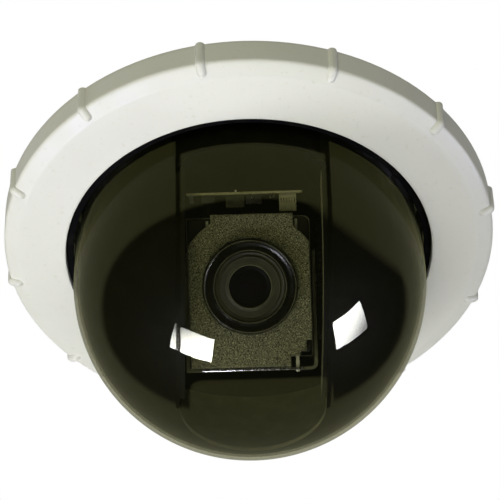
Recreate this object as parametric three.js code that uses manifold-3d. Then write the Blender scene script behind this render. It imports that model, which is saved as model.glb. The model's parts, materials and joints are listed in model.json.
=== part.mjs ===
// Recessed pan-tilt-zoom dome camera. Millimetres, +Z up. The origin is on the pan axis in the
// plane of the ceiling's underside; the camera looks along -Y, tilted down, and everything above
// z = 0 stands inside the ceiling.
import * as THREE from 'three';
import { mergeVertices } from 'three/addons/utils/BufferGeometryUtils.js';
import Module from 'manifold-3d';

const wasm = await Module();
wasm.setup();

// ---------------------------------------------------------------- driving dimensions
const GAP = 0.3; // clearance left between touching pieces
const DOME_R = 76.2; // six-inch dome
const DOME_WALL = 1.5;
const TILT_Z = -36.5; // height of the tilt axis and of the dome's centre
const TILT_REST = 46; // degrees below horizontal in the stored pose

const TRIM_R = 107;
const TRIM_WALL = 2.6;
const TRIM_SIDE_Z = -12.3; // foot of the vertical side
const TRIM_BEVEL_R = 100.3;
const TRIM_BEVEL_Z = -15.65;
const TRIM_LIP_R = 79.9;
const TRIM_LIP_Z = -19.1;
const TRIM_SEAT_Z = -15; // face that the dome's flange sits on
const TRIM_SEAT_R = 91.5;
const RIB_COUNT = 12;
const RIB_START = 20.33;
const RIB_R = 2.1;
const RIM_STEPS = 40; // facets round the rim

const DOME_FLANGE_R = 90;
const CLAMP_RING_R = 95.6;
const DOME_SCREW_R = 93;
const DOME_SCREW_ANGLES = [0, 120, 240];

const PLATE_R = 99; // mounting ring
const PLATE_BORE = 77;
const PLATE_T = 2.5;
const PLATE_RECESS = 0.6; // seat for the can's flange, sunk into the plate's top
const COLLAR_T = 2.2;
const LUG_ANGLES = [60, 180, 300];
const LUG_R = 102.5;
const LUG_TOP = -3.3;

const CAN_R = 80;
const CAN_WALL = 1.5;
const CAN_LOW = GAP - PLATE_RECESS;
const CAN_H = 25;
const CAN_FLANGE_R = 91;
const CAN_SCREW_R = 88;
const CAN_SCREW_ANGLES = [30, 150, 270];
const ROOF_BORE = 52;
const COVER_R = 55.5;
const COVER_TOP = 54;
const COVER_FLANGE_R = 62;
const GLAND_R = 8;

const CLAMP_ANGLES = [90, 210, 330];
const CLAMP_R = 85.5; // circle that the clamp screws stand on
const CLAMP_REACH = 15;
const CEILING_T = 10;

const CHASSIS_Z = 21.2;
const CHASSIS_T = 2;
const CHASSIS_SCREW_R = 58.5;
const CHASSIS_SCREW_ANGLES = [0, 120, 240];
const STUD_R = 44;
const STUD_ANGLES = [30, 150, 270];
const MOTOR_R = 14;
const GEAR_Z = 15.3;
const GEAR_T = 3.5;
const PAN_TEETH = 60;
const PINION_TEETH = 12;
const TILT_TEETH = 48;
const MODULE = 1;
const BOARD_Z = 35;

const TURNTABLE_Z = 11;
const TURNTABLE_R = 71;
const LINER_R = 73.6;
const LINER_WALL = 1.6;
const LINER_TOP = 10.7;
const SLOT_HALF = 30.6;
const SLOT_TOP = -26.6;
const SLOT_END_Y = 6;
const CHEEK_DEPTH = 9;
const CHEEK_T = 2.2;

const YOKE_X = 32;
const YOKE_T = 2.5;
const YOKE_HALF = 11;
const SHAFT_R = 3;
const TILT_GEAR_X = 29;
const TILT_GEAR_T = 2.5;

const CRADLE_X = 26.3;
const CRADLE_T = 1.5;
const CRADLE_BOTTOM = -36.2;
const BLOCK_HALF = 25; // camera block, half width
const BLOCK_HALF_H = 28.3;
const BLOCK_FRONT = -42;
const BLOCK_REAR = 30;
const PAD_HALF = 25.5;
const PAD_TOP = 30.2;
const PAD_BOTTOM = -34.4;
const PAD_FRONT = -48;
const LENS_FRONT = 54;
const LENS_R = 19.45;
const LENS_RING_R = 14.45;
const GLASS_R = 8.4;
const CELL_R = 17.1;

// ---------------------------------------------------------------- colours
const PAINT = {
  trim: [0xe4e4df, 0.45, 0],
  smoke: [0x2a2a1e, 0.06, 0],
  black: [0x10100d, 0.6, 0],
  foam: [0x35352a, 0.95, 0],
  rubber: [0x0c0c0a, 0.9, 0],
  galvanised: [0xa7a9a8, 0.42, 0.9],
  blackSteel: [0x1b1b18, 0.4, 0],
  alloy: [0x8f9192, 0.45, 0.9],
  steel: [0xc4c6c8, 0.3, 1],
  brass: [0xb59a58, 0.35, 1],
  nylon: [0xdedccf, 0.5, 0],
  board: [0x1d4a2c, 0.5, 0],
  glass: [0x1a1c28, 0.03, 0],
  plug: [0x1c1c1c, 0.5, 0],
};

// ---------------------------------------------------------------- helpers
const rad = THREE.MathUtils.degToRad;
const polar = (r, deg) => [r * Math.cos(rad(deg)), r * Math.sin(rad(deg))];

// A closed geometry as a solid that booleans can use.
function solid(geometry) {
  const bare = geometry.clone();
  bare.deleteAttribute('normal');
  bare.deleteAttribute('uv');
  const merged = mergeVertices(bare, 1e-4);
  const source = merged.index.array;
  const faces = [];
  for (let i = 0; i < source.length; i += 3) {
    const [a, b, c] = [source[i], source[i + 1], source[i + 2]];
    if (a !== b && b !== c && c !== a) faces.push(a, b, c);
  }
  const vertProperties = new Float32Array(merged.attributes.position.array);
  const triVerts = new Uint32Array(faces);
  return new wasm.Manifold(new wasm.Mesh({ numProp: 3, vertProperties, triVerts }));
}

function toGeometry(manifold) {
  const mesh = manifold.getMesh();
  const geometry = new THREE.BufferGeometry();
  const position = new Float32Array(mesh.numVert * 3);
  for (let i = 0; i < mesh.numVert; i += 1) {
    for (let k = 0; k < 3; k += 1) position[3 * i + k] = mesh.vertProperties[mesh.numProp * i + k];
  }
  geometry.setAttribute('position', new THREE.BufferAttribute(position, 3));
  geometry.setIndex(new THREE.BufferAttribute(new Uint32Array(mesh.triVerts), 1));
  return geometry;
}

function cut(body, ...tools) {
  return toGeometry(tools.reduce((left, tool) => left.subtract(solid(tool)), solid(body)));
}

function join(body, ...more) {
  return toGeometry(more.reduce((left, piece) => left.add(solid(piece)), solid(body)));
}

function common(body, ...more) {
  return toGeometry(more.reduce((left, piece) => left.intersect(solid(piece)), solid(body)));
}

// Turned solid about Z from an outline of [radius, z] points, in either direction.
function turned(outline, segments = 48) {
  let area = 0;
  outline.forEach(([r, z], i) => {
    const [nextR, nextZ] = outline[(i + 1) % outline.length];
    area += r * nextZ - nextR * z;
  });
  const points = (area > 0 ? outline : [...outline].reverse()).map(([r, z]) => new THREE.Vector2(r, z));
  const touchesAxis = outline.some(([r]) => r === 0);
  if (touchesAxis) {
    while (points[0].x !== 0 || points[points.length - 1].x !== 0) points.push(points.shift());
  } else {
    points.push(points[0].clone());
  }
  return new THREE.LatheGeometry(points, segments).rotateX(Math.PI / 2);
}

function ring(inner, outer, low, high, segments = 48) {
  return turned([[inner, low], [outer, low], [outer, high], [inner, high]], segments);
}

function disc(radius, low, high, segments = 20) {
  return turned([[0, low], [radius, low], [radius, high], [0, high]], segments);
}

function box(x, y, z) {
  const size = [x, y, z].map(([low, high]) => high - low);
  const middle = [x, y, z].map(([low, high]) => (low + high) / 2);
  return new THREE.BoxGeometry(...size).translate(...middle);
}

// Arc of a ring, as a sector between two angles in degrees.
function sector(inner, outer, from, to, low, high, steps = 6) {
  const shape = new THREE.Shape();
  for (let i = 0; i <= steps; i += 1) {
    const [x, y] = polar(outer, from + ((to - from) * i) / steps);
    if (i === 0) shape.moveTo(x, y);
    else shape.lineTo(x, y);
  }
  for (let i = steps; i >= 0; i -= 1) shape.lineTo(...polar(inner, from + ((to - from) * i) / steps));
  return slab(shape, low, high);
}

function slab(shape, low, high, curveSegments = 12) {
  const options = { depth: high - low, bevelEnabled: false, curveSegments };
  return new THREE.ExtrudeGeometry(shape, options).translate(0, 0, low);
}

// Turns a shape drawn about Z so that its Z becomes the named axis.
const alongX = (geometry) => geometry.rotateY(Math.PI / 2);
const alongLens = (geometry) => geometry.rotateX(Math.PI / 2);

function postsAt(angles, radius, post) {
  return angles.map((deg) => post(deg).translate(...polar(radius, deg), 0));
}

function arc(radius, centreZ, from, to, steps) {
  return Array.from({ length: steps + 1 }, (unused, i) => {
    const a = rad(from + ((to - from) * i) / steps);
    const r = Math.abs(Math.cos(a)) < 1e-9 ? 0 : radius * Math.cos(a);
    return [r, centreZ + radius * Math.sin(a)];
  });
}

// Spur gear about Z with straight-flanked teeth; `phase` turns it by a part of one tooth.
function gear(teeth, bore, low, high, phase) {
  const pitchR = (teeth * MODULE) / 2;
  const pitch = 360 / teeth;
  const tip = pitchR + 0.85 * MODULE;
  const root = pitchR - 1.2 * MODULE;
  const shape = new THREE.Shape();
  for (let i = 0; i < teeth; i += 1) {
    const middle = (i + phase) * pitch;
    const corners = [[root, -0.31], [tip, -0.11], [tip, 0.11], [root, 0.31]];
    corners.forEach(([r, offset], k) => {
      const [x, y] = polar(r, middle + offset * pitch);
      if (i === 0 && k === 0) shape.moveTo(x, y);
      else shape.lineTo(x, y);
    });
  }
  shape.closePath();
  if (bore > 0) {
    const hole = new THREE.Path();
    hole.absarc(0, 0, bore, 0, 2 * Math.PI, true);
    shape.holes.push(hole);
  }
  return slab(shape, low, high, 10);
}

// Pan-head screw about Z, its head's seat at z = seat and its shank going down.
function screw(shankR, length, headR, headH, seat) {
  const outline = [
    [0, seat - length], [shankR, seat - length], [shankR, seat], [headR, seat],
    [headR, seat + headH * 0.6], [headR * 0.7, seat + headH], [0, seat + headH],
  ];
  return turned(outline, 8);
}

const camera = new THREE.Group();

function add(parent, name, paint, geometry) {
  const [color, roughness, metalness] = PAINT[paint];
  geometry.computeVertexNormals();
  const mesh = new THREE.Mesh(geometry, new THREE.MeshStandardMaterial({ color, roughness, metalness }));
  mesh.name = name;
  parent.add(mesh);
  return mesh;
}

// ---------------------------------------------------------------- ceiling side (fixed)
function mountingRing() {
  const outline = [
    [PLATE_BORE, -PLATE_T], [PLATE_R - COLLAR_T, -PLATE_T], [PLATE_R - COLLAR_T, -8],
    [PLATE_R, -8], [PLATE_R, 0], [CAN_FLANGE_R + 0.5, 0], [CAN_FLANGE_R + 0.5, -PLATE_RECESS],
    [PLATE_BORE, -PLATE_RECESS],
  ];
  const lugs = LUG_ANGLES.flatMap((deg) => [
    sector(PLATE_R - 0.5, LUG_R, deg - 10, deg + 12, LUG_TOP - 3.2, LUG_TOP),
    sector(PLATE_R - 0.5, LUG_R, deg + 9, deg + 12, LUG_TOP - 0.1, -0.8, 2),
  ]);
  const clampHoles = postsAt(CLAMP_ANGLES, CLAMP_R, () => disc(2.3, -4, 1, 8));
  const screwHoles = postsAt(CAN_SCREW_ANGLES, CAN_SCREW_R, () => disc(1.55, -4, 1, 8));
  return cut(join(turned(outline, RIM_STEPS), ...lugs), ...clampHoles, ...screwHoles);
}

function backCan() {
  const shoulder = CAN_LOW + CAN_WALL;
  const outline = [
    [CAN_R - CAN_WALL, CAN_LOW], [CAN_FLANGE_R, CAN_LOW], [CAN_FLANGE_R, shoulder], [CAN_R, shoulder],
    [CAN_R, CAN_H], [ROOF_BORE, CAN_H], [ROOF_BORE, CAN_H - CAN_WALL], [CAN_R - CAN_WALL, CAN_H - CAN_WALL],
  ];
  const clampHoles = postsAt(CLAMP_ANGLES, CLAMP_R, () => disc(2.3, -1, 4, 8));
  const screwHoles = postsAt(CAN_SCREW_ANGLES, CAN_SCREW_R, () => disc(1.55, -1, 4, 8));
  const roofHoles = postsAt(CHASSIS_SCREW_ANGLES, CHASSIS_SCREW_R, () => disc(1.8, CAN_H - 4, CAN_H + 4, 8));
  const vents = [0, 60, 120, 180, 240, 300].map((deg) =>
    box([CAN_R - 6, CAN_R + 6], [-9, 9], [9, 12]).rotateZ(rad(deg)));
  return cut(turned(outline, 32), ...clampHoles, ...screwHoles, ...roofHoles, ...vents);
}

function electronicsCover() {
  const inner = COVER_R - CAN_WALL;
  const low = CAN_H + GAP;
  const outline = [
    [inner, low], [COVER_FLANGE_R, low], [COVER_FLANGE_R, low + CAN_WALL], [COVER_R, low + CAN_WALL],
    [COVER_R, COVER_TOP - 6], [COVER_R - 6, COVER_TOP], [GLAND_R + GAP, COVER_TOP],
    [GLAND_R + GAP, COVER_TOP - CAN_WALL], [inner - 5.4, COVER_TOP - CAN_WALL], [inner, COVER_TOP - 6.9],
  ];
  const holes = postsAt(CHASSIS_SCREW_ANGLES, CHASSIS_SCREW_R, () => disc(1.8, CAN_H - 4, CAN_H + 4, 8));
  return cut(turned(outline, 28), ...holes);
}

// Liquid-tight gland in the cover's top; the cable itself is not part of the camera.
function cableGland() {
  const hex = new THREE.CylinderGeometry(11.5, 11.5, 5, 6).rotateX(Math.PI / 2);
  const body = turned([
    [5, COVER_TOP - 6], [GLAND_R, COVER_TOP - 6], [GLAND_R, COVER_TOP + 12], [6.6, COVER_TOP + 14],
    [5, COVER_TOP + 14],
  ], 24);
  const nut = cut(hex.translate(0, 0, COVER_TOP + GAP + 2.5), disc(6, COVER_TOP - 2, COVER_TOP + 8, 24));
  return join(body, nut);
}

function chassisPlate() {
  const plate = ring(15 + GAP, 74, CHASSIS_Z, CHASSIS_Z + CHASSIS_T, 28);
  const studs = postsAt(STUD_ANGLES, STUD_R, () => turned([
    [0, CHASSIS_Z + 1], [3, CHASSIS_Z + 1], [3, BOARD_Z - GAP], [1.2, BOARD_Z - GAP],
    [1.2, BOARD_Z + 3.5], [0, BOARD_Z + 3.5],
  ], 12));
  const screws = postsAt(CHASSIS_SCREW_ANGLES, CHASSIS_SCREW_R, () => disc(1.8, 18, 26, 8));
  const shaftHole = disc(5, 18, 26, 16).translate(0, panMotorY(), 0);
  return cut(join(plate, ...studs), ...screws, shaftHole);
}

function panMotorY() {
  return ((PAN_TEETH + PINION_TEETH) * MODULE) / 2;
}

function panMotor() {
  const low = CHASSIS_Z + CHASSIS_T + GAP;
  const body = turned([[2, low], [4.5, low], [4.5, low + 0.8], [MOTOR_R, low + 0.8],
    [MOTOR_R, low + 18], [0, low + 18], [0, low + 1.5], [2, low + 1.5]], 18);
  const ears = box([-20, 20], [-4, 4], [low, low + 0.9]);
  const bore = disc(2, low - 1, low + 1.5, 12);
  return cut(join(body, ears), bore).translate(0, panMotorY(), 0);
}

function panPinion() {
  const teeth = gear(PINION_TEETH, 0, GEAR_Z, GEAR_Z + GEAR_T, 0.5);
  const shaft = disc(1.5, GEAR_Z - 1.5, CHASSIS_Z + CHASSIS_T + GAP + 1.2, 12);
  return join(teeth, shaft).translate(0, panMotorY(), 0);
}

function panBearingOuter() {
  return ring(12.3, 15, 19.4, 25.4, 20);
}

function mainBoard() {
  const plate = ring(10, 49, BOARD_Z, BOARD_Z + 1.6, 24);
  const motorNotch = disc(MOTOR_R + 1.5, 30, 40, 16).translate(0, panMotorY(), 0);
  const edgeNotch = box([-12, 12], [panMotorY(), 60], [30, 40]);
  const studHoles = postsAt(STUD_ANGLES, STUD_R, () => disc(1.5, 30, 40, 10));
  return cut(plate, motorNotch, edgeNotch, ...studHoles);
}

function networkJack() {
  const low = BOARD_Z + 1.6 + GAP;
  const shell = box([-8, 8], [-38, -17], [low, low + 13.2]);
  return cut(shell, box([-6, 6], [-40, -24], [low + 2, low + 11]));
}

function powerTerminal() {
  const low = BOARD_Z + 1.6 + GAP;
  const body = box([20, 35], [-8, 8], [low, low + 10]);
  const doors = [-4, 4].map((y) => box([30, 37], [y - 2.6, y + 2.6], [low + 1.5, low + 6.5]));
  return cut(body, ...doors);
}

function slipRingStator() {
  const low = 25.4 + GAP;
  return turned([[3.6, low], [19, low], [19, low + 1.6], [7.5, low + 1.6], [7.5, 44], [3.6, 44]], 20);
}

// ---------------------------------------------------------------- swing-out ceiling clamps
function clampScrew() {
  const outline = [
    [0, -6.2], [3.4, -6.2], [3.8, -5.6], [3.8, -PLATE_T - GAP], [2, -PLATE_T - GAP], [2, 30], [0, 31],
  ];
  return turned(outline, 10);
}

function clampArm() {
  const boss = disc(4.6, CEILING_T, CEILING_T + 8, 12);
  const arm = box([0, CLAMP_REACH], [-4.5, 4.5], [CEILING_T, CEILING_T + 3]);
  const web = box([0, CLAMP_REACH - 6], [-1, 1], [CEILING_T + 2.5, CEILING_T + 6]);
  return cut(join(boss, arm, web), disc(2.3, CEILING_T - 1, CEILING_T + 10, 8));
}

// ---------------------------------------------------------------- trim ring and dome
function trimOutline() {
  const inside = TRIM_R - TRIM_WALL;
  return [
    [inside, 0], [inside, TRIM_SIDE_Z + 1.7], [TRIM_BEVEL_R - 1, TRIM_BEVEL_Z + 2.4],
    [TRIM_SEAT_R, TRIM_SEAT_Z], [TRIM_LIP_R, TRIM_SEAT_Z], [TRIM_LIP_R, TRIM_LIP_Z + 0.6],
    [TRIM_LIP_R + 0.6, TRIM_LIP_Z], [TRIM_BEVEL_R - 0.7, TRIM_BEVEL_Z - 0.1],
    [TRIM_BEVEL_R + 0.6, TRIM_BEVEL_Z + 0.3],
    [TRIM_R - 0.6, TRIM_SIDE_Z - 0.3], [TRIM_R, TRIM_SIDE_Z + 0.6], [TRIM_R, 0],
  ];
}

// Half-round grip: up the side, then along the bevel with a round end.
function gripRib(deg) {
  const axisR = TRIM_R - 0.8;
  const rise = TRIM_SIDE_Z - TRIM_BEVEL_Z;
  const slope = Math.atan2(rise, TRIM_R - TRIM_BEVEL_R);
  const length = Math.hypot(TRIM_R - TRIM_BEVEL_R, rise) - 3;
  const side = disc(RIB_R, TRIM_SIDE_Z - 0.6, -0.2, 8).translate(axisR, 0, 0);
  const outline = [[0, -0.4], [RIB_R, -0.4], [RIB_R, length], [RIB_R * 0.6, length + 1.6], [0, length + 1.6]];
  const run = turned(outline, 8)
    .rotateY(-Math.PI / 2 - slope).translate(axisR, 0, TRIM_SIDE_Z);
  return [side, run].map((piece) => piece.rotateZ(rad(deg)));
}

function trimRing() {
  const shell = turned(trimOutline(), RIM_STEPS);
  const ribAngles = Array.from({ length: RIB_COUNT }, (unused, i) => RIB_START + (i * 360) / RIB_COUNT);
  const ribs = ribAngles.flatMap(gripRib);
  const cavity = turned([
    [TRIM_LIP_R - 5, TRIM_SEAT_Z], [TRIM_SEAT_R, TRIM_SEAT_Z], [TRIM_BEVEL_R - 1, TRIM_BEVEL_Z + 2.4],
    [TRIM_R - TRIM_WALL, TRIM_SIDE_Z + 1.7], [TRIM_R - TRIM_WALL, 1], [TRIM_LIP_R - 5, 1],
  ], RIM_STEPS);
  const skin = cut(join(shell, ...ribs), cavity);
  const ledges = LUG_ANGLES.map((deg) =>
    sector(PLATE_R + 1.2, TRIM_R - 2.2, deg - 8, deg + 8, LUG_TOP + GAP, -0.8));
  const bosses = postsAt(DOME_SCREW_ANGLES, DOME_SCREW_R, () => disc(2.6, TRIM_SEAT_Z - 0.5, -13.3, 8));
  const pilots = postsAt(DOME_SCREW_ANGLES, DOME_SCREW_R, () => disc(1.5, TRIM_SEAT_Z - 0.4, -10, 8));
  return cut(join(skin, ...ledges, ...bosses), ...pilots);
}

function domeBubble() {
  const inner = DOME_R - DOME_WALL;
  const low = TRIM_SEAT_Z + GAP;
  const outline = [
    ...arc(DOME_R, TILT_Z, -90, 0, 8), [DOME_R, low], [DOME_FLANGE_R, low], [DOME_FLANGE_R, low + DOME_WALL],
    [inner, low + DOME_WALL], ...arc(inner, TILT_Z, 0, -90, 8),
  ];
  return turned(outline, RIM_STEPS);
}

function domeGasket() {
  return ring(DOME_R + GAP, TRIM_LIP_R - GAP, TRIM_LIP_Z + 1.6, TRIM_SEAT_Z, RIM_STEPS);
}

function domeClampRing() {
  const low = TRIM_SEAT_Z + 2 * GAP + DOME_WALL;
  const holes = postsAt(DOME_SCREW_ANGLES, DOME_SCREW_R, () => disc(1.8, -20, 0, 8));
  return cut(ring(DOME_R + 1.4, CLAMP_RING_R, low, low + 2, 32), ...holes);
}

// ---------------------------------------------------------------- panning turret
function turntable() {
  const plate = ring(5.5, TURNTABLE_R, TURNTABLE_Z, TURNTABLE_Z + 2.2, 28);
  const windows = [45, 135, 225, 315].map((deg) =>
    disc(9, 5, 18, 12).translate(...polar(48, deg), 0));
  return cut(plate, ...windows);
}

function panHub() {
  const low = TURNTABLE_Z + 2.2 + GAP;
  return turned([[4.5, low], [13, low], [13, GEAR_Z - GAP], [8, GEAR_Z - GAP], [8, 25.2], [4.5, 25.2]], 18);
}

function panGear() {
  return gear(PAN_TEETH, 8 + GAP, GEAR_Z, GEAR_Z + GEAR_T, 0);
}

function slipRingRotor() {
  return disc(3.2, TURNTABLE_Z - 2, 46, 12);
}

// Bowl that follows the dome, open at the top, between two depths under the liner's outside.
function bowl(outerDepth, innerDepth) {
  const outer = LINER_R - outerDepth;
  const inner = LINER_R - innerDepth;
  return turned([
    ...arc(outer, TILT_Z, -90, 0, 7), [outer, LINER_TOP],
    [inner, LINER_TOP], ...arc(inner, TILT_Z, 0, -90, 7),
  ], 36);
}

// The slot seen from below: straight sides that end in a half circle behind the lowest point.
function slotPlan(half) {
  const shape = new THREE.Shape();
  shape.moveTo(half, -100);
  shape.lineTo(half, SLOT_END_Y);
  shape.absarc(0, SLOT_END_Y, half, 0, Math.PI, false);
  shape.lineTo(-half, -100);
  shape.closePath();
  return slab(shape, -130, SLOT_TOP, 10);
}

// The slot seen from the front: its upper corners are round.
function slotFront(half) {
  const corner = 9;
  const shape = new THREE.Shape();
  shape.moveTo(-half, -130);
  shape.lineTo(half, -130);
  shape.lineTo(half, SLOT_TOP - corner);
  shape.absarc(half - corner, SLOT_TOP - corner, corner, 0, Math.PI / 2, false);
  shape.absarc(-half + corner, SLOT_TOP - corner, corner, Math.PI / 2, Math.PI, false);
  shape.closePath();
  return slab(shape, -100, 100, 5).rotateX(Math.PI / 2);
}

function slottedLiner() {
  const rim = ring(62, LINER_R - 0.4, LINER_TOP - 1.5, LINER_TOP, 36);
  const shell = join(bowl(0, LINER_WALL), rim);
  const slotted = cut(shell, common(slotPlan(SLOT_HALF), slotFront(SLOT_HALF)));
  const band = bowl(0.1, CHEEK_DEPTH);
  const cheeks = [-1, 1].map((side) => {
    const x = [side * (SLOT_HALF - CHEEK_T), side * (SLOT_HALF + 0.4)].sort((a, b) => a - b);
    return common(band, box(x, [-90, 0], [-130, SLOT_TOP - 9]));
  });
  return join(slotted, ...cheeks);
}

function yoke(side) {
  const shape = new THREE.Shape();
  shape.absarc(TILT_Z, 0, YOKE_HALF, Math.PI / 2, (3 * Math.PI) / 2, false);
  shape.lineTo(TURNTABLE_Z - GAP, -YOKE_HALF);
  shape.lineTo(TURNTABLE_Z - GAP, YOKE_HALF);
  shape.closePath();
  const plate = slab(shape, 0, YOKE_T, 10).applyMatrix4(new THREE.Matrix4().makeBasis(
    new THREE.Vector3(0, 0, 1), new THREE.Vector3(0, 1, 0), new THREE.Vector3(-1, 0, 0)));
  const foot = box([-12, -YOKE_T + 0.5], [-YOKE_HALF, YOKE_HALF], [TURNTABLE_Z - GAP - 2, TURNTABLE_Z - GAP]);
  const bore = alongX(disc(5 + GAP, -5, 5, 14)).translate(0, 0, TILT_Z);
  const motorBore = alongX(disc(4.2, -5, 5, 12)).translate(0, 0, TILT_Z + tiltCentres());
  const blank = cut(join(plate, foot), bore, motorBore);
  return blank.rotateZ(side > 0 ? Math.PI : 0).translate(side * YOKE_X, 0, 0);
}

function tiltCentres() {
  return ((TILT_TEETH + PINION_TEETH) * MODULE) / 2;
}

function tiltBushing(side) {
  const outline = [
    [SHAFT_R + GAP, -0.3], [5, -0.3], [5, YOKE_T + GAP], [6.5, YOKE_T + GAP], [6.5, YOKE_T + 1.3],
    [SHAFT_R + GAP, YOKE_T + 1.3],
  ];
  const bushing = alongX(turned(outline, 14)).translate(YOKE_X, 0, TILT_Z);
  return side > 0 ? bushing : bushing.rotateZ(Math.PI);
}

function tiltMotor() {
  const low = YOKE_X + YOKE_T + GAP;
  const body = turned([
    [2, low], [3.9, low], [3.9, low + 0.2], [10, low + 0.2], [10, low + 15], [0, low + 15],
    [0, low + 1.5], [2, low + 1.5],
  ], 16);
  return alongX(body).translate(0, 0, TILT_Z + tiltCentres());
}

function tiltPinion() {
  const teeth = gear(PINION_TEETH, 0, TILT_GEAR_X, TILT_GEAR_X + TILT_GEAR_T, 0.5);
  const shaft = disc(1.5, TILT_GEAR_X - 0.4, YOKE_X + YOKE_T + GAP + 1.2, 12);
  return alongX(join(teeth, shaft)).translate(0, 0, TILT_Z + tiltCentres());
}

// ---------------------------------------------------------------- tilting camera, lens along -Y
function cradle() {
  const sides = [-1, 1].map((side) => {
    const x = [side * CRADLE_X, side * (CRADLE_X + CRADLE_T)].sort((a, b) => a - b);
    return box(x, [-30, 26], [CRADLE_BOTTOM, 14]);
  });
  const width = CRADLE_X + CRADLE_T;
  const floor = box([-width, width], [-45, 26], [CRADLE_BOTTOM, CRADLE_BOTTOM + CRADLE_T]);
  const tab = box([16, 19], [-45, -44], [CRADLE_BOTTOM, PAD_BOTTOM + 8]);
  const bores = alongX(disc(SHAFT_R + GAP, -40, 40, 20));
  return cut(join(floor, ...sides, tab), bores);
}

function tiltShaft(side) {
  const start = BLOCK_HALF + GAP;
  const outline = [
    [0, start], [4.6, start], [4.6, CRADLE_X - GAP], [SHAFT_R, CRADLE_X - GAP], [SHAFT_R, 37], [0, 37],
  ];
  const shaft = alongX(turned(outline, 14));
  return side > 0 ? shaft : shaft.rotateZ(Math.PI);
}

function tiltGear() {
  const toothAtPinion = ((180 - TILT_REST) * TILT_TEETH) / 360;
  return alongX(gear(TILT_TEETH, SHAFT_R + GAP, TILT_GEAR_X, TILT_GEAR_X + TILT_GEAR_T, toothAtPinion));
}

function cameraBlock() {
  const shell = box([-BLOCK_HALF, BLOCK_HALF], [BLOCK_FRONT, BLOCK_REAR], [-BLOCK_HALF_H, BLOCK_HALF_H]);
  const cavity = box([2 - BLOCK_HALF, BLOCK_HALF - 2], [BLOCK_FRONT + 2, BLOCK_REAR + 1],
    [2 - BLOCK_HALF_H, BLOCK_HALF_H - 2]);
  const bore = alongLens(disc(LENS_R + GAP, -10, 60, 28));
  const posts = [[-17, -30], [17, -30], [-17, 8], [17, 8]].map(([x, y]) =>
    disc(1.8, BLOCK_HALF_H - 1, 38.1 - GAP, 8).translate(x, y, 0));
  return join(cut(shell, cavity, bore), ...posts);
}

function rearCover() {
  const plate = box([-BLOCK_HALF, BLOCK_HALF], [BLOCK_REAR + GAP, BLOCK_REAR + 3],
    [-BLOCK_HALF_H, BLOCK_HALF_H]);
  const vents = [-12, -6, 0, 6, 12].map((z) =>
    box([-14, 14], [BLOCK_REAR - 2, BLOCK_REAR + 6], [z - 1, z + 1]));
  return cut(plate, ...vents);
}

// Flocked light shield on the block's face, cut back at the upper corners.
function foamPad() {
  const corner = 34.5;
  const shoulder = Math.sqrt(corner ** 2 - PAD_HALF ** 2);
  const crown = Math.sqrt(corner ** 2 - PAD_TOP ** 2);
  const shape = new THREE.Shape();
  shape.moveTo(-PAD_HALF, PAD_BOTTOM);
  shape.lineTo(15, PAD_BOTTOM);
  shape.lineTo(15, PAD_BOTTOM + 8.5);
  shape.lineTo(20, PAD_BOTTOM + 8.5);
  shape.lineTo(20, PAD_BOTTOM);
  shape.lineTo(PAD_HALF, PAD_BOTTOM);
  shape.absarc(0, 0, corner, Math.atan2(shoulder, PAD_HALF), Math.atan2(PAD_TOP, crown), false);
  shape.absarc(0, 0, corner, Math.atan2(PAD_TOP, -crown), Math.atan2(shoulder, -PAD_HALF), false);
  shape.closePath();
  const hole = new THREE.Path();
  hole.absarc(0, 0, LENS_R + GAP, 0, 2 * Math.PI, true);
  shape.holes.push(hole);
  return alongLens(slab(shape, GAP - BLOCK_FRONT, -PAD_FRONT, 18));
}

function lensBarrel() {
  return alongLens(turned([
    [CELL_R + GAP, -6], [LENS_R, -6], [LENS_R, LENS_FRONT - 0.6], [LENS_R - 0.6, LENS_FRONT],
    [LENS_RING_R + 0.9, LENS_FRONT], [LENS_RING_R + GAP, LENS_FRONT - 0.6],
    [LENS_RING_R + GAP, LENS_FRONT - 3], [CELL_R + GAP, LENS_FRONT - 3],
  ], 20));
}

function lensFrontRing() {
  return alongLens(turned([
    [GLASS_R + GAP, LENS_FRONT - 7], [CELL_R, LENS_FRONT - 7], [CELL_R, LENS_FRONT - 3 - GAP],
    [LENS_RING_R, LENS_FRONT - 3 - GAP], [LENS_RING_R, LENS_FRONT - 0.9], [GLASS_R + 0.8, LENS_FRONT - 0.9],
    [GLASS_R + GAP, LENS_FRONT - 1.6],
  ], 20));
}

function frontGlass() {
  const bulge = 24;
  const half = THREE.MathUtils.radToDeg(Math.asin(GLASS_R / bulge));
  const crown = arc(bulge, LENS_FRONT - 2.4 - bulge, 90 - half, 90, 3);
  return alongLens(turned([[0, LENS_FRONT - 7.5], [GLASS_R, LENS_FRONT - 7.5], ...crown], 20));
}

// Moving lens cell: a ring with its glass, sliding inside the barrel.
function lensCell(from, to) {
  const middle = (from + to) / 2;
  return alongLens(turned([
    [0, middle - 2.2], [7, middle - 1.2], [7, from], [CELL_R, from], [CELL_R, to], [7, to],
    [7, middle + 1.2], [0, middle + 2.2],
  ], 20));
}

function irCutFilter() {
  const frame = box([-8, 20], [12.5, 13.7], [-8, 8]);
  return cut(frame, alongLens(disc(5.2, -14.5, -11.5, 16)).translate(12.5, 0, 0));
}

function sensorBoard() {
  const plate = box([-20, 20], [20, 21.6], [-20, 20]);
  const chip = box([-6, 6], [17.6, 20.2], [-5.5, 5.5]);
  return join(plate, chip);
}

function cameraBoard() {
  const plate = box([-25.6, 23], [-40, 14], [38.1, 39.7]);
  const chips = [
    box([-19.4, -13.9], [-38, -33], [35.1, 38.3]),
    box([-9.2, -1.4], [-39.4, -33], [32.4, 38.3]),
    box([13.2, 20.4], [-39.4, -34], [30.8, 38.3]),
  ];
  return join(plate, ...chips);
}

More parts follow.
